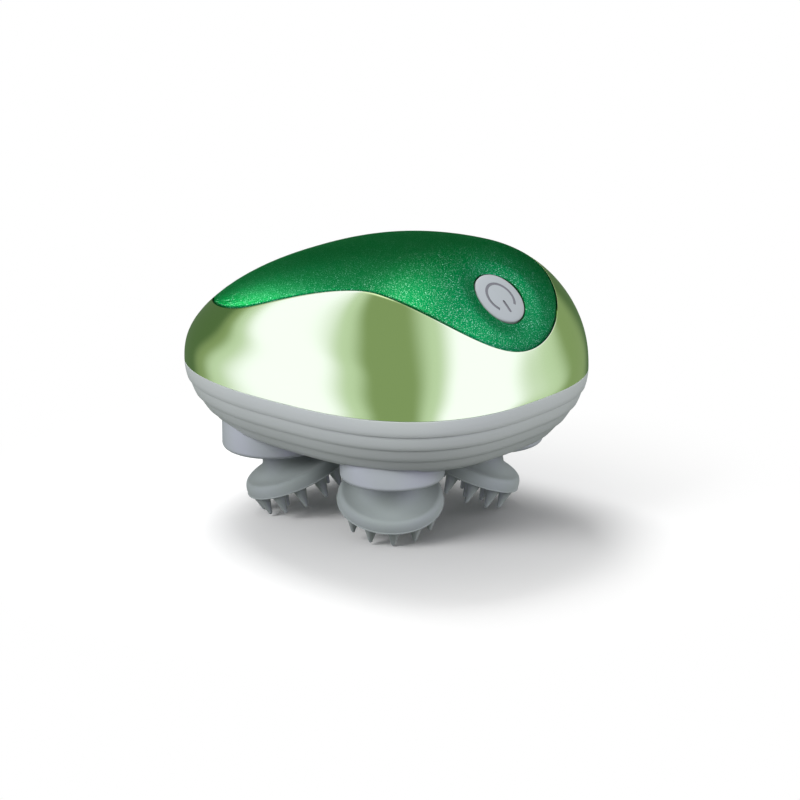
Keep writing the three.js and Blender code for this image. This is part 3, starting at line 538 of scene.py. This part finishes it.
# Button frame: origin on the dome, Z out of it, X down the slope to the nose
slope = (ridgeHeight(button["x"] + 0.05) - ridgeHeight(button["x"] - 0.05)) / 0.1
buttonLean = math.atan(-slope)
buttonFrame = (
    shiftTo(button["x"], 0, seam + ridgeHeight(button["x"]))
    @ Matrix.Rotation(buttonLean, 4, "Y")
)
buttonInverse = buttonFrame.inverted()
buttonAxis = buttonFrame.to_3x3() @ Vector((0, 0, 1))


def aboveButton(u, v, inset):
    # Point of the dome that lies over (u, v) of the button frame
    x = button["x"] + u * math.cos(buttonLean)
    for _ in range(12):
        point = onDome(x, v, inset)
        x += (u - (buttonInverse @ point).x) * math.cos(buttonLean)
    return onDome(x, v, inset)


def dip(point):
    # Depth of the dish under a point
    local = buttonInverse @ point
    floor = cover["dishFloor"]
    share = (math.hypot(local.x, local.y) - floor) / (cover["dishRadius"] - floor)
    if share >= 1:
        return 0.0
    share = max(share, 0.0)
    return cover["dishDepth"] * (1 - share * share * (3 - 2 * share))


def buildCover():
    hole = button["hole"]
    edge = cover["edge"]
    outlines = {}

    def outlineAt(turn, margin):
        if margin not in outlines:
            outlines[margin] = rayTable(button["x"], margin)
        x, y = polar(outlines[margin](turn), turn)
        return button["x"] + x, y

    def place(point, turn):
        share, margin, inset, lowered = point
        inner = aboveButton(*polar(hole + margin, turn), inset)
        ray = math.atan2(math.sin(turn), math.cos(turn) * math.cos(buttonLean))
        x, y = outlineAt(ray, -margin)
        x = inner.x + (x - inner.x) * share
        y = inner.y + (y - inner.y) * share
        spot = onDome(x, y, inset)
        return spot - buttonAxis * (dip(spot) if lowered else 0.0)

    profile = []
    for turn in quarterTurns(4):  # rounded edge of the hole
        profile.append((0.0, edge * (1 - math.cos(turn)), edge * (1 - math.sin(turn)), True))
    for i in range(1, cover["rings"]):
        profile.append(((i / cover["rings"]) ** cover["spread"], edge, 0.0, True))
    for turn in quarterTurns(4):  # rounded outer edge
        profile.append((1.0, edge * (1 - math.sin(turn)), edge * (1 - math.cos(turn)), True))
    for i in range(cover["underRings"] + 1):
        share = 1 - (i / cover["underRings"]) ** cover["underSpread"]
        profile.append((share, 0.0, cover["thickness"], False))
    obj = newObject(spinChain(profile, cover["steps"], place, closed=True), "gripSkin")
    finishPiece(obj, "housing", "grip_cover", "grip_skin")


# Upper shell, with the recess for the cover
upperShell = {
    "wall": 3.4,
    "edge": 0.08,  # rounding of the recess
    "innerRings": 24,
    "innerSpread": 2.2,  # the rings stand closer at the rim
    "outerRings": 48,
    "outerSpread": 2.0,
    "floorRings": 12,
}


def buildUpperShell():
    centre = housing["widestX"]
    opening = rayTable(centre, gap)
    edge = upperShell["edge"]
    recess = cover["thickness"] + gap
    wall = upperShell["wall"]
    rim = seam + seamGap

    def place(point, turn):
        # Kind of reach or distance from the opening's edge, share of the reach, depth
        kind, share, inset = point
        if kind is None:
            return onDome(centre, 0, inset)
        outer = planRadius(turn, inset)
        if kind == "whole":
            reach = outer * share
        elif kind == "shell":
            reach = outer + (opening(turn) + edge - outer) * share
        else:
            reach = (opening(turn) + kind) * share
        x, y = polar(reach, turn)
        spot = onDome(centre + x, y, inset)
        spot.z = max(spot.z, rim)
        return spot

    profile = [(None, 0.0, wall)]
    rings = upperShell["innerRings"]
    for i in range(1, rings + 1):  # inner face, from the middle to the rim
        profile.append(("whole", 1 - (1 - i / rings) ** upperShell["innerSpread"], wall))
    rings = upperShell["outerRings"]
    for i in range(rings + 1):  # outer face, from the rim up to the opening
        profile.append(("shell", (i / rings) ** upperShell["outerSpread"], 0.0))
    for turn in quarterTurns(4, 1):  # rounded edge of the opening
        profile.append((edge * (1 - math.sin(turn)), 1.0, edge * (1 - math.cos(turn))))
    rings = upperShell["floorRings"]
    for i in range(rings):  # floor that the cover lies on
        profile.append((0.0, 1 - i / rings, recess))
    profile.append((None, 0.0, recess))
    obj = newObject(spinChain(profile, housing["steps"], place), "platedShell")
    low, high = button["wellReach"]
    well = rod(low, (button["seat"], button["seatDepth"]), (button["hole"], high))
    combine(obj, moved(lathe(well, steps=96), buttonFrame), "DIFFERENCE")
    combine(obj, slotTool(port["recess"], port["behind"], None, port["recessDepth"]), "DIFFERENCE")
    combine(obj, slotTool(port["mouth"], port["behind"], port["mouthEnd"]), "DIFFERENCE")
    finishPiece(obj, "housing", "upper_shell", "coated_shell")


# Charging port in the tail, under its plug
port = {
    "height": 4.2,  # over the seam
    "plug": (12.0, 5.4),  # width and height
    "recess": (12.6, 6.0),
    "recessDepth": 1.8,
    "mouth": (9.54, 3.86),
    "mouthEnd": -44.0,
    "behind": -60.0,  # X well behind the tail
    "inside": -30.0,  # X well inside it
    "sink": 0.2,
    "thickness": 1.3,
    "edge": 0.25,
    "stub": (7.6, 1.96),
    "stubX": (-50.6, -46.9),
    # Rings of faces, as shares of the slot's size
    "frontRings": (0.25, 0.5, 0.75, 0.92),
    "backRings": (1.0, 0.6, 0.3),
    "slotRings": (1.0, 0.7, 0.35),
    # Thumbnail notch at the upper edge, which helps to pull the plug out
    "notch": {"radii": (1.1, 1.3), "halfLength": 1.6, "surfaceAt": 2.7, "height": 2.9},
}


def tailX(y, z, inset):
    # X of the tail surface at a height, found by halving
    low = -housing["halfLength"] + inset
    high = port["inside"]
    for _ in range(40):
        middle = (low + high) / 2
        if domeZ(middle, y, inset) < z:
            low = middle
        else:
            high = middle
    return (low + high) / 2


def slotEdge(size, turn):
    # Point on a slot with round ends, for a turn round its middle
    halfHeight = size[1] / 2
    straight = size[0] / 2 - halfHeight
    x, y = polar(1.0, turn)
    if abs(y) > 1e-9 and abs(x / y) * halfHeight <= straight:
        return x / abs(y) * halfHeight, math.copysign(halfHeight, y)
    side = math.copysign(straight, x)
    along = side * x
    square = along * along - straight * straight + halfHeight * halfHeight
    reach = along + math.sqrt(max(square, 0.0))
    return reach * x, reach * y


def slotTool(size, fromX, toX=None, inset=0.0):
    # A slot across the tail, from fromX to toX or to the dome drawn in by inset
    middle = seam + port["height"]

    def place(point, turn):
        share, side = point
        across, up = slotEdge(size, turn)
        across *= share or 0
        up *= share or 0
        x = fromX
        if side == "far":
            x = toX if toX is not None else tailX(across, middle + up, inset)
        return Vector((x, across, middle + up))

    profile = [(None, "near"), (1.0, "near")]
    profile += [(share, "far") for share in (*port["slotRings"], None)]
    return spinChain(profile, steps=64, place=place)


def buildPlug():
    middle = seam + port["height"]
    edge = port["edge"]

    def place(point, turn):
        share, inset, margin = point
        across, up = slotEdge([s - 2 * margin for s in port["plug"]], turn)
        across *= share or 0
        up *= share or 0
        return Vector((tailX(across, middle + up, inset), across, middle + up))

    front = port["sink"]
    back = front + port["thickness"]
    profile = [(None, front, 0.0)]
    profile += [(share, front, edge) for share in port["frontRings"]]
    for turn in quarterTurns(3):
        profile.append((1.0, front + edge * (1 - math.cos(turn)), edge * (1 - math.sin(turn))))
    profile += [(share, back, 0.0) for share in (*port["backRings"], None)]
    obj = newObject(spinChain(profile, steps=96, place=place), "plugSkin")
    combine(obj, slotTool(port["stub"], *port["stubX"]), "UNION")
    notch = port["notch"]
    near, far = notch["radii"]
    half = notch["halfLength"]
    surface = tailX(0, middle + notch["surfaceAt"], front)
    tool = moved(
        lathe([(0, -half), (near, -half), (far, half), (0, half)], steps=32),
        shiftTo(surface, 0, middle + notch["height"]) @ Matrix.Rotation(math.pi / 2, 4, "Y"),
    )
    combine(obj, tool, "DIFFERENCE")
    finishPiece(obj, "plug", "port_plug", "dark_rubber")


def powerSign(top):
    # The sign as a tool that reaches signDepth into the cap
    half = button["signWidth"] / 2
    bottom = top - button["signDepth"]
    clear = top + 1.0  # above the crown
    reach = button["signRadius"]
    # Arc: a small square section spun round, open towards the nose
    arc = bmesh.new()
    section = ((reach - half, bottom), (reach + half, bottom), (reach + half, clear), (reach - half, clear))
    face = arc.faces.new([arc.verts.new((r, 0, z)) for r, z in section])
    opening = math.radians(button["signGap"])
    start = Matrix.Rotation(opening, 3, "Z")
    bmesh.ops.rotate(arc, cent=(0, 0, 0), matrix=start, verts=arc.verts[:])
    bmesh.ops.spin(arc, geom=[face], cent=(0, 0, 0), axis=(0, 0, 1),
                   angle=2 * math.pi - 2 * opening, steps=72, use_duplicate=False)
    bmesh.ops.recalc_face_normals(arc, faces=arc.faces[:])
    fromU, toU = button["bar"]
    bar = block((toU - fromU, 2 * half, clear - bottom), ((fromU + toU) / 2, 0, (bottom + clear) / 2))
    upright = [e for e in bar.edges if abs(e.verts[0].co.z - e.verts[1].co.z) > half]
    bmesh.ops.bevel(bar, geom=upright, affect="EDGES", offset=half * button["barEnds"],
                    segments=4, profile=0.5, material=-1)
    return moved(mergeAll([arc, bar]), buttonFrame)


def buildButton():
    radius = button["radius"]
    edge = button["edge"]
    crown = button["crown"]
    rounding, upTo, lift = button["rounding"]
    flange = button["flange"]
    stem = button["stem"]
    top = edge + crown
    profile = rod(stem["bottom"], (stem["radius"], flange["bottom"]),
                  (radius + flange["beyond"], flange["top"]))[:-1]
    profile.append((radius, flange["top"]))
    profile += arcPoints(radius - rounding, edge - rounding + lift, rounding, 0, upTo, 5)
    for i in range(1, button["crownRings"] + 1):
        share = 1 - i / button["crownRings"]
        profile.append((share * (radius - rounding), edge + crown * (1 - share * share)))
    cap = moved(lathe(profile, steps=128), buttonFrame)
    obj = newObject(cap, "powerCap", materials["button_plastic"])
    # The groove's faces take the darker groove colour, which is painted shade in the engraving
    combine(obj, powerSign(top), "DIFFERENCE", materials["groove"])
    shown = ["button_plastic", "groove"]
    finishPiece(obj, "button", "power_button", "lilac_plastic", shown, sharp=25.0)


# Base with its stepped rings. Heights from here on are counted from the underside.
base = {
    "wall": 2.4,
    "ringEdge": 0.22,
    "ringCorner": 0.4,  # share of the edge that the lowest corner stands in by
    "ledgeFall": 0.02,  # from the corner to the next ring
    "ringRows": 4,  # of faces down each ring
    "wallRows": 6,
    # Rounding from the bowl into the underside: inwards, upwards
    "foot": ((0.0, 1.2), (0.15, 0.6), (0.6, 0.15), (1.2, 0.0), (8.0, 0.0)),
    "flatRadius": 16.0,
    "pad": {"radius": 9.0, "inner": 4.0, "height": 0.6, "foot": (0.3, 0.1), "edge": 0.15},
    "roofUnder": 3.6,  # over the pockets
    "roofTop": 5.4,
    "pocket": {"radius": 13.9, "mouth": 0.3, "hubHole": 3.3},
    "shaftHole": {"radius": 2.3, "bottom": 1.6},
    "screws": {"nose": (36.5, 0.0), "tail": (-36.5, 0.0), "left": (0.0, 29.0), "right": (0.0, -29.0)},
    "screwPost": 3.2,
    "screwPostGap": 0.1,  # from its top to the rim
    "screwHole": {"headRadius": 2.6, "radius": 1.5, "beyond": 3.0},
    "deckPostCircle": 22.4,
    "deckPost": ((2.1, 9.7), (1.2, 11.71)),  # radius and top of its two parts
    "sink": 1.0,  # of the posts into the roof
    "toolTop": 17.0,  # of the tools that cut through the roof
}
# Turns of the four stations round the middle
stations = {
    "front_left": math.pi / 4,
    "rear_left": 3 * math.pi / 4,
    "rear_right": 5 * math.pi / 4,
    "front_right": 7 * math.pi / 4,
}
stationRadius = 29.25


def standing(profile, steps, x=0.0, y=0.0):
    # A turned shape at (x, y) over the underside
    return moved(lathe(profile, steps), shiftTo(x, y, underside))


def baseProfile(rim):
    top = housing["bowlDepth"]
    wall = base["wall"]
    step = housing["ringStep"]
    edge = base["ringEdge"]
    rows = base["ringRows"]
    roof = base["roofTop"]
    profile = [(wall + step, rim), (edge, rim), (0.0, rim - edge)]
    depth = 0.0
    for height in housing["ringHeights"]:
        start = depth
        depth += height
        for i in range(1, rows + 1):
            d = start + (height - edge) * i / rows
            profile.append((bowlInset(d) + (step if start else 0.0) * (1 - i / rows), top - d))
        profile.append((bowlInset(depth) + edge * base["ringCorner"], top - depth))
        profile.append((bowlInset(depth) + step, top - depth - base["ledgeFall"]))
    bottomInset = housing["bowlFlare"] + step
    profile += [(bottomInset + inwards, up) for inwards, up in base["foot"]]
    # Flat underside with a low pad in its middle, as plain radii
    flat = base["flatRadius"]
    pad = base["pad"]["radius"]
    under = -base["pad"]["height"]
    out, down = base["pad"]["foot"]
    soft = base["pad"]["edge"]
    profile += [(-flat, 0.0), (-pad - out, 0.0), (-pad, -down), (-pad, under + soft),
                (-pad + soft, under), (-base["pad"]["inner"], under), (None, under),
                (None, roof), (-flat, roof)]
    drop = top - roof
    rows = base["wallRows"]
    for i in range(rows, 0, -1):  # inner wall, back up to the rim
        profile.append((bowlInset(drop * i / rows) + step + wall, top - drop * i / rows))
    return profile


def buildBase():
    rim = housing["bowlDepth"] - seamGap
    roof = base["roofUnder"]
    inRoof = base["roofTop"] - base["sink"]
    top = base["toolTop"]
    clear = -2.0  # under everything

    def place(point, turn):
        # An inset from the outline, or a plain radius where it is negative
        inset, z = point
        if inset is None:
            return Vector((0, 0, underside + z))
        if inset < 0:
            return Vector((*polar(-inset, turn), underside + z))
        x, y = polar(planRadius(turn, inset), turn)
        return Vector((housing["widestX"] + x, y, underside + z))

    obj = newObject(spinChain(baseProfile(rim), housing["steps"], place, closed=True), "baseShell")
    posts = []
    for x, y in base["screws"].values():
        post = rod(inRoof, (base["screwPost"], rim - base["screwPostGap"]))
        posts.append(standing(post, 32, x, y))
    for i in range(4):
        x, y = polar(base["deckPostCircle"], i * math.pi / 2)
        posts.append(standing(rod(inRoof, *base["deckPost"]), 24, x, y))
    combine(obj, mergeAll(posts), "UNION")
    shaft = base["shaftHole"]
    tools = [standing(rod(shaft["bottom"], (shaft["radius"], top)), 32)]
    hole = base["screwHole"]
    for x, y in base["screws"].values():
        well = rod(clear, (hole["headRadius"], screw["seat"]), (hole["radius"], rim + hole["beyond"]))
        tools.append(standing(well, 32, x, y))
    radius = base["pocket"]["radius"]
    mouth = base["pocket"]["mouth"]
    hub = base["pocket"]["hubHole"]
    pocket = [(0, clear), (radius + mouth, clear), (radius + mouth, -0.01), (radius, mouth),
              (radius, roof), (hub, roof), (hub, top), (0, top)]
    for angle in stations.values():
        tools.append(standing(pocket, 96, *polar(stationRadius, angle)))
    combine(obj, mergeAll(tools), "DIFFERENCE")
    finishPiece(obj, "housing", "lower_shell", "grey_plastic")


# Case screws, driven up from the underside
screw = {
    "seat": 5.0,
    "head": (2.3, 1.6),  # radius, height
    "shank": 1.2,
    "tip": 24.3,
    "tipRadius": 0.4,
    "rounding": 0.6,
    "cross": (2.7, 0.6, 0.9),  # length, width and depth of the recess
}


def buildScrews():
    radius, height = screw["head"]
    shank = screw["shank"]
    seat = screw["seat"]
    tip = screw["tip"]
    under = seat - height
    rounding = screw["rounding"]
    profile = [(0, under)] + arcPoints(radius - rounding, under + rounding, rounding, -90, 0, 6)
    profile += [(radius, seat), (shank, seat), (shank, tip - shank), (screw["tipRadius"], tip), (0, tip)]
    length, width, depth = screw["cross"]
    for name, (x, y) in base["screws"].items():
        obj = newObject(standing(profile, 48, x, y), f"{name}Screw")
        for size in ((length, width), (width, length)):
            combine(obj, block((*size, 2 * depth), (x, y, underside + under)), "DIFFERENCE")
        finishPiece(obj, "housing", f"{name}_case_screw", "steel")


# Drums and leaning heads, made once in a station's frame whose X points to the middle.
# A rod is given by its bottom and by the radius and top of each part.
drum = {
    "radius": 13.5,
    "top": 3.2,
    "height": 8.1,
    "wall": 1.5,
    "web": 2.0,
    "edge": 1.3,
    "topEdge": 0.5,
    "innerEdge": 0.6,
    "mouth": (0.2, 0.25),
    "hub": (3.0, 6.05),  # radius and top
    "hexagon": (5.7, (2.7, 9.4)),  # drives the drum from its gear
    "journal": (8.91, (2.0, 11.41)),
    "boss": (-3.2, (3.9, -0.4)),  # along the leaning pin
    "bore": (-4.2, (2.3, -0.1)),
}
head = {
    "pivot": 2.25,
    "tilt": 21.5,
    "disc": 16.7,  # from the pivot to the face with the fingers
    "radius": 13.95,
    "lip": 0.35,  # thin bead along the lower edge of the band
    "lipEdge": (0.12, 0.1),
    "lipStep": 0.14,
    "faceRings": (4.0, 9.0),
    "rimHeight": 3.4,
    "shoulder": 1.9,
    "bandPowers": (0.75, 0.9),
    "bandRows": 14,
    "trumpetRows": 26,
    "flareTop": 7.5,
    "neck": 6.5,
    "neckTop": 4.0,
    "neckEdge": 0.3,
    # Hollow for the hub, from the neck down: radius, height
    "hollow": ((4.6, -4.0), (4.6, -10.7), (5.7, -13.6), (9.7, -13.6), (9.7, -15.4), (0, -15.4)),
    "fingerRings": ((12, 11.5), (8, 6.9), (1, 0.0)),  # number, radius of the ring
}
finger = {
    "length": 5.7,
    "root": 1.85,
    "tip": 0.55,
    "foot": (0.2, 0.02, 0.3),  # where it leaves the face: outwards, from and to this far down
    "sink": 0.6,
}
headFrame = shiftTo(0, 0, head["pivot"]) @ Matrix.Rotation(-math.radians(head["tilt"]), 4, "Y")


def softCorner(size):
    # Steps along one edge and down the other round a small corner
    return ((size, 0.0), (0.3 * size, 0.3 * size), (0.0, size))


def keepMesh(obj):
    mesh = obj.data
    bpy.data.objects.remove(obj)
    return mesh


def drumMesh():
    top = drum["top"]
    bottom = top - drum["height"]
    radius = drum["radius"]
    edge = drum["edge"]
    inside = radius - drum["wall"]
    roof = top - drum["web"]
    hub, hubTop = drum["hub"]
    out, up = drum["mouth"]
    profile = [(0, roof)]
    profile += [(inside - a, roof - b) for a, b in softCorner(drum["innerEdge"])]
    profile += [(inside, bottom + up), (inside + out, bottom)]
    profile += arcPoints(radius - edge, bottom + edge, edge, -90, 0, 8)
    profile += [(radius - b, top - a) for a, b in softCorner(drum["topEdge"])]
    profile += [(hub, top), (hub, hubTop), (0, hubTop)]
    obj = newObject(lathe(profile, steps=128), "drum")
    combine(obj, moved(lathe(rod(*drum["boss"]), steps=48), headFrame), "UNION")
    combine(obj, lathe(rod(*drum["hexagon"]), steps=6), "UNION")
    combine(obj, lathe(rod(*drum["journal"]), steps=32), "UNION")
    combine(obj, moved(lathe(rod(*drum["bore"]), steps=48), headFrame), "DIFFERENCE")
    return keepMesh(obj)


def fingerShape():
    face = -head["disc"]
    end = face - finger["length"]
    root = finger["root"]
    tip = finger["tip"]
    sink = face + finger["sink"]
    out, fromDown, toDown = finger["foot"]
    shape = [(0, sink), (root + out, sink), (root + out, face - fromDown), (root, face - toDown)]
    shape += arcPoints(0, end + tip, tip, 0, -90, 5)[:-1]
    return shape + [(0, end)]


def headMesh():
    face = -head["disc"]
    radius = head["radius"]
    flareLow = face + head["rimHeight"]
    flareRise = -head["flareTop"] - flareLow
    neck = head["neck"]
    neckTop = -head["neckTop"]
    neckEdge = head["neckEdge"]
    low = face + head["lip"]
    rimEdge = radius - head["lipStep"]
    flareEdge = radius - head["shoulder"]
    inwards, up = head["lipEdge"]
    profile = [(0, face), *[(ring, face) for ring in head["faceRings"]]]
    profile += [(radius - inwards, face), (radius, face + up), (radius, low - up), (rimEdge, low)]
    inPower, upPower = head["bandPowers"]
    for turn in quarterTurns(head["bandRows"], 1):  # band that rounds softly over into the trumpet
        profile.append((flareEdge + (rimEdge - flareEdge) * math.cos(turn) ** inPower,
                        low + (flareLow - low) * math.sin(turn) ** upPower))
    for turn in quarterTurns(head["trumpetRows"], 1):  # trumpet up to the neck
        profile.append((flareEdge - (flareEdge - neck) * math.sin(turn),
                        flareLow + flareRise * (1 - math.cos(turn))))
    profile += [(neck, neckTop - neckEdge), (neck - neckEdge, neckTop), *head["hollow"]]
    obj = newObject(lathe(profile, steps=128), "head")
    fingers = []
    for count, circle in head["fingerRings"]:
        for i in range(count):
            place = shiftTo(*polar(circle, math.pi + i * 2 * math.pi / count))
            fingers.append(moved(lathe(fingerShape(), steps=18), place))
    combine(obj, mergeAll(fingers), "UNION")
    return keepMesh(obj)


def buildStations():
    drumShape = drumMesh()
    headShape = headMesh()
    for name, angle in stations.items():
        place = shiftTo(*polar(stationRadius, angle), underside)
        place @= Matrix.Rotation(angle + math.pi, 4, "Z")
        for shape, local, label, body, part, slot in (
            (drumShape, place, "Collar", "turret", "drum", "lilac_plastic"),
            (headShape, place @ headFrame, "FingerHead", "head", "massage_head", "silicone"),
        ):
            mesh = shape.copy()
            mesh.transform(local)
            obj = bpy.data.objects.new(name + label, mesh)
            bpy.context.scene.collection.objects.link(obj)
            finishPiece(obj, f"{name}_{body}", f"{name}_{part}", slot, sharp=40.0)
    bpy.data.meshes.remove(drumShape)
    bpy.data.meshes.remove(headShape)


buildCover()
print("cover done")
buildUpperShell()
print("upper shell done")
buildPlug()
buildButton()
print("plug and button done")
buildBase()
print("base done")
buildScrews()
buildStations()
print("screws, drums and heads done")

# Camera at the photograph's angle
camera = {"place": (0.52013, -0.61077, 0.27544), "target": (0.00343, 0.00289, 0.02976), "lens": 142.416}

# Studio: pale floor, soft lamps, and a room that is bright above and dark below.
# The lamps aren't mirrored: shiny faces mirror two tall boxes to the sides of the camera instead.
studio = {
    "above": 0.45,  # brightness of the room for plain light
    "below": 0.16,
    "horizon": (-0.45, 0.15),
    "lampsAimAt": (0, 0, 0.04),
    # Name, place, size, watts, what it lights. The satin lamps are mirrored, but only in the cover.
    "lamps": (
        ("keyBox", (-0.57, 0.30, 0.96), 0.5, 9.5, "all"),
        ("leftBox", (-0.20, -0.84, 0.50), 0.5, 7.0, "all"),
        ("rightBox", (0.86, -0.05, 0.50), 0.5, 5.5, "pieces"),
        ("satinTop", (0.06, -0.01, 1.13), 0.5, 8.0, "cover"),
        ("satinLeft", (-0.944, -0.138, 0.581), 0.3, 7.5, "cover"),
        ("satinRight", (0.80, 0.30, 0.72), 0.3, 3.8, "cover"),
    ),
    "tones": {
        "shade": (0.117, 0.178, 0.097),
        "dusk": (0.325, 0.385, 0.251),
        "half": (0.768, 0.81, 0.85),
        "full": (1.535, 1.333, 2.186),
    },
    # Tone of the boxes by the turn away from the camera, in degrees
    "boxes": (
        (-180, "shade"), (-107, "shade"), (-97, "dusk"), (-88, "half"), (-76, "full"),
        (-64, "full"), (-45, "half"), (-28, "dusk"), (4, "dusk"), (29, "half"), (50, "full"),
        (82, "full"), (91, "half"), (102, "dusk"), (114, "dusk"), (132, "shade"), (180, "shade"),
    ),
    "boxLean": 45.0,  # of the axis that the boxes stand round
    "boxBend": {"from": 0.3, "to": -0.29, "scale": 0.8, "shift": 4.0},  # towards the floor
    # From high to low the left box shifts by some degrees. Between the first turns its inner
    # edge moves out, and between the others its outer edge moves by the spread of that.
    "leftEdges": {
        "low": 0.3, "high": 0.85, "shift": 6.5,
        "inner": (-30.0, -5.0), "outer": (-100.0, -52.0), "spread": -1.2,
    },
    "skylight": {"height": 61.0, "inner": 6.0, "outer": 20.0, "tone": 1.5},
    "floorColor": (0.92, 0.92, 0.92, 1),
    "floorFade": (0.055, 0.12),
}


def placeCamera():
    data = bpy.data.cameras.new("camera")
    data.lens = camera["lens"]
    data.sensor_width = 36.0
    data.clip_start = 0.05
    data.clip_end = 50.0
    obj = bpy.data.objects.new("camera", data)
    bpy.context.scene.collection.objects.link(obj)
    obj.location = camera["place"]
    sight = Vector(camera["target"]) - Vector(camera["place"])
    obj.rotation_euler = sight.to_track_quat("-Z", "Y").to_euler()
    bpy.context.scene.camera = obj


def buildFloor():
    bm = bmesh.new()
    bmesh.ops.create_grid(bm, x_segments=1, y_segments=1, size=6.0)
    floor = newObject(bm, "floor")
    floor.visible_glossy = False
    floor.visible_diffuse = False
    material = bpy.data.materials.new("paleFloor")
    material.use_nodes = True
    tree = material.node_tree
    shader = tree.nodes["Principled BSDF"]
    shader.inputs["Base Color"].default_value = studio["floorColor"]
    shader.inputs["Roughness"].default_value = 0.9
    shader.inputs["Specular IOR Level"].default_value = 0.0
    # Away from the object the floor turns into the plain white of the room.
    place = node(tree, "ShaderNodeTexCoord").outputs["Object"]
    away = node(tree, "ShaderNodeVectorMath", {0: place}, operation="LENGTH").outputs["Value"]
    white = node(tree, "ShaderNodeEmission").outputs["Emission"]
    fade = mapRange(tree, away, studio["floorFade"])
    above = node(tree, "ShaderNodeMixShader", {"Fac": fade, 1: shader.outputs["BSDF"], 2: white})
    # Seen from below it is clear, so that the underside shows.
    back = node(tree, "ShaderNodeNewGeometry").outputs["Backfacing"]
    clear = node(tree, "ShaderNodeBsdfTransparent").outputs["BSDF"]
    sides = node(tree, "ShaderNodeMixShader", {"Fac": back, 1: above.outputs["Shader"], 2: clear})
    tree.links.new(sides.outputs["Shader"], tree.nodes["Material Output"].inputs["Surface"])
    floor.data.materials.append(material)
    return floor


def buildLamps(floor):
    pieces = bpy.data.collections.new("allPieces")
    for obj in bpy.context.scene.objects:
        if obj.type == "MESH" and obj is not floor:
            pieces.objects.link(obj)
    satin = bpy.data.collections.new("litBySatinLamps")
    satin.objects.link(bpy.data.objects["gripSkin"])
    receivers = {"pieces": pieces, "cover": satin}
    for name, place, size, watts, lit in studio["lamps"]:
        lamp = bpy.data.lights.new(name, "AREA")
        lamp.shape = "SQUARE"
        lamp.size = size
        lamp.energy = watts
        obj = bpy.data.objects.new(name, lamp)
        bpy.context.scene.collection.objects.link(obj)
        obj.location = place
        aim = Vector(studio["lampsAimAt"]) - Vector(place)
        obj.rotation_euler = aim.to_track_quat("-Z", "Y").to_euler()
        obj.visible_glossy = lit == "cover"
        if lit in receivers:
            obj.light_linking.receiver_collection = receivers[lit]


def buildRoom():
    world = bpy.data.worlds.new("room")
    bpy.context.scene.world = world
    world.use_nodes = True
    tree = world.node_tree
    direction = node(tree, "ShaderNodeTexCoord").outputs["Generated"]
    height = node(tree, "ShaderNodeSeparateXYZ", {0: direction}).outputs["Z"]

    def along(axis):
        dot = node(tree, "ShaderNodeVectorMath", {0: direction, 1: axis}, operation="DOT_PRODUCT")
        return dot.outputs["Value"]

    toCamera = Vector(camera["place"]) - Vector(camera["target"])
    toCamera.z = 0
    toCamera.normalize()
    across = Vector((-toCamera.y, toCamera.x, 0))
    lean = math.radians(studio["boxLean"])
    leaning = toCamera * math.cos(lean) + Vector((0, 0, math.sin(lean)))
    turn = calc(tree, "ARCTAN2", along(across), along(leaning))

    # Bend of the boxes towards the floor, then the course of the left box's edges
    bend = studio["boxBend"]
    bendRange = (bend["to"], bend["from"])
    scale = mapRange(tree, height, bendRange, (bend["scale"], 1.0))
    shift = mapRange(tree, height, bendRange, (math.radians(bend["shift"]), 0.0))
    bent = calc(tree, "MULTIPLY_ADD", turn, scale, shift)
    left = studio["leftEdges"]
    inner = mapRange(tree, turn, map(math.radians, left["inner"]), (1.0, 0.0))
    outer = mapRange(tree, turn, map(math.radians, left["outer"]), (left["spread"], 0.0))
    lower = mapRange(tree, height, (left["low"], left["high"]), (math.radians(left["shift"]), 0.0))
    drawn = calc(tree, "MULTIPLY_ADD", calc(tree, "ADD", inner, outer), lower, bent)

    share = mapRange(tree, drawn, (-math.pi, math.pi), kind="LINEAR")
    ramp = node(tree, "ShaderNodeValToRGB", {"Fac": share})
    ramp.color_ramp.interpolation = "EASE"
    elements = ramp.color_ramp.elements
    elements.remove(elements[1])
    brightest = max(studio["tones"]["full"])
    for i, (degrees, tone) in enumerate(studio["boxes"]):
        spot = (degrees + 180) / 360
        element = elements[0] if i == 0 else elements.new(spot)
        element.position = spot
        element.color = (*[part / brightest for part in studio["tones"][tone]], 1)
    boxes = node(tree, "ShaderNodeVectorMath", {0: ramp.outputs["Color"]}, operation="SCALE")
    boxes.inputs["Scale"].default_value = brightest

    # Round skylight beyond the object, which only the grip cover mirrors
    skylight = studio["skylight"]
    rise = math.radians(skylight["height"])
    beyond = along(Vector((0, 0, math.sin(rise))) - toCamera * math.cos(rise))
    rims = [math.cos(math.radians(skylight[rim])) for rim in ("outer", "inner")]
    sky = (*[skylight["tone"]] * 3, 1)
    mirrored = mixColor(tree, mapRange(tree, beyond, rims), boxes.outputs["Vector"], sky)

    # Glossy rays see the boxes, the camera sees white, all others the plain room.
    path = node(tree, "ShaderNodeLightPath").outputs
    plain = mapRange(tree, height, studio["horizon"], (studio["below"], studio["above"]))
    lit = mixColor(tree, path["Is Glossy Ray"], plain, mirrored)
    shown = mixColor(tree, path["Is Camera Ray"], lit, (1, 1, 1, 1))
    back = tree.nodes["Background"]
    back.inputs["Strength"].default_value = 1.0
    tree.links.new(shown, back.inputs["Color"])


placeCamera()
buildLamps(buildFloor())
buildRoom()
bpy.context.scene.view_settings.view_transform = "Standard"
print("studio done")
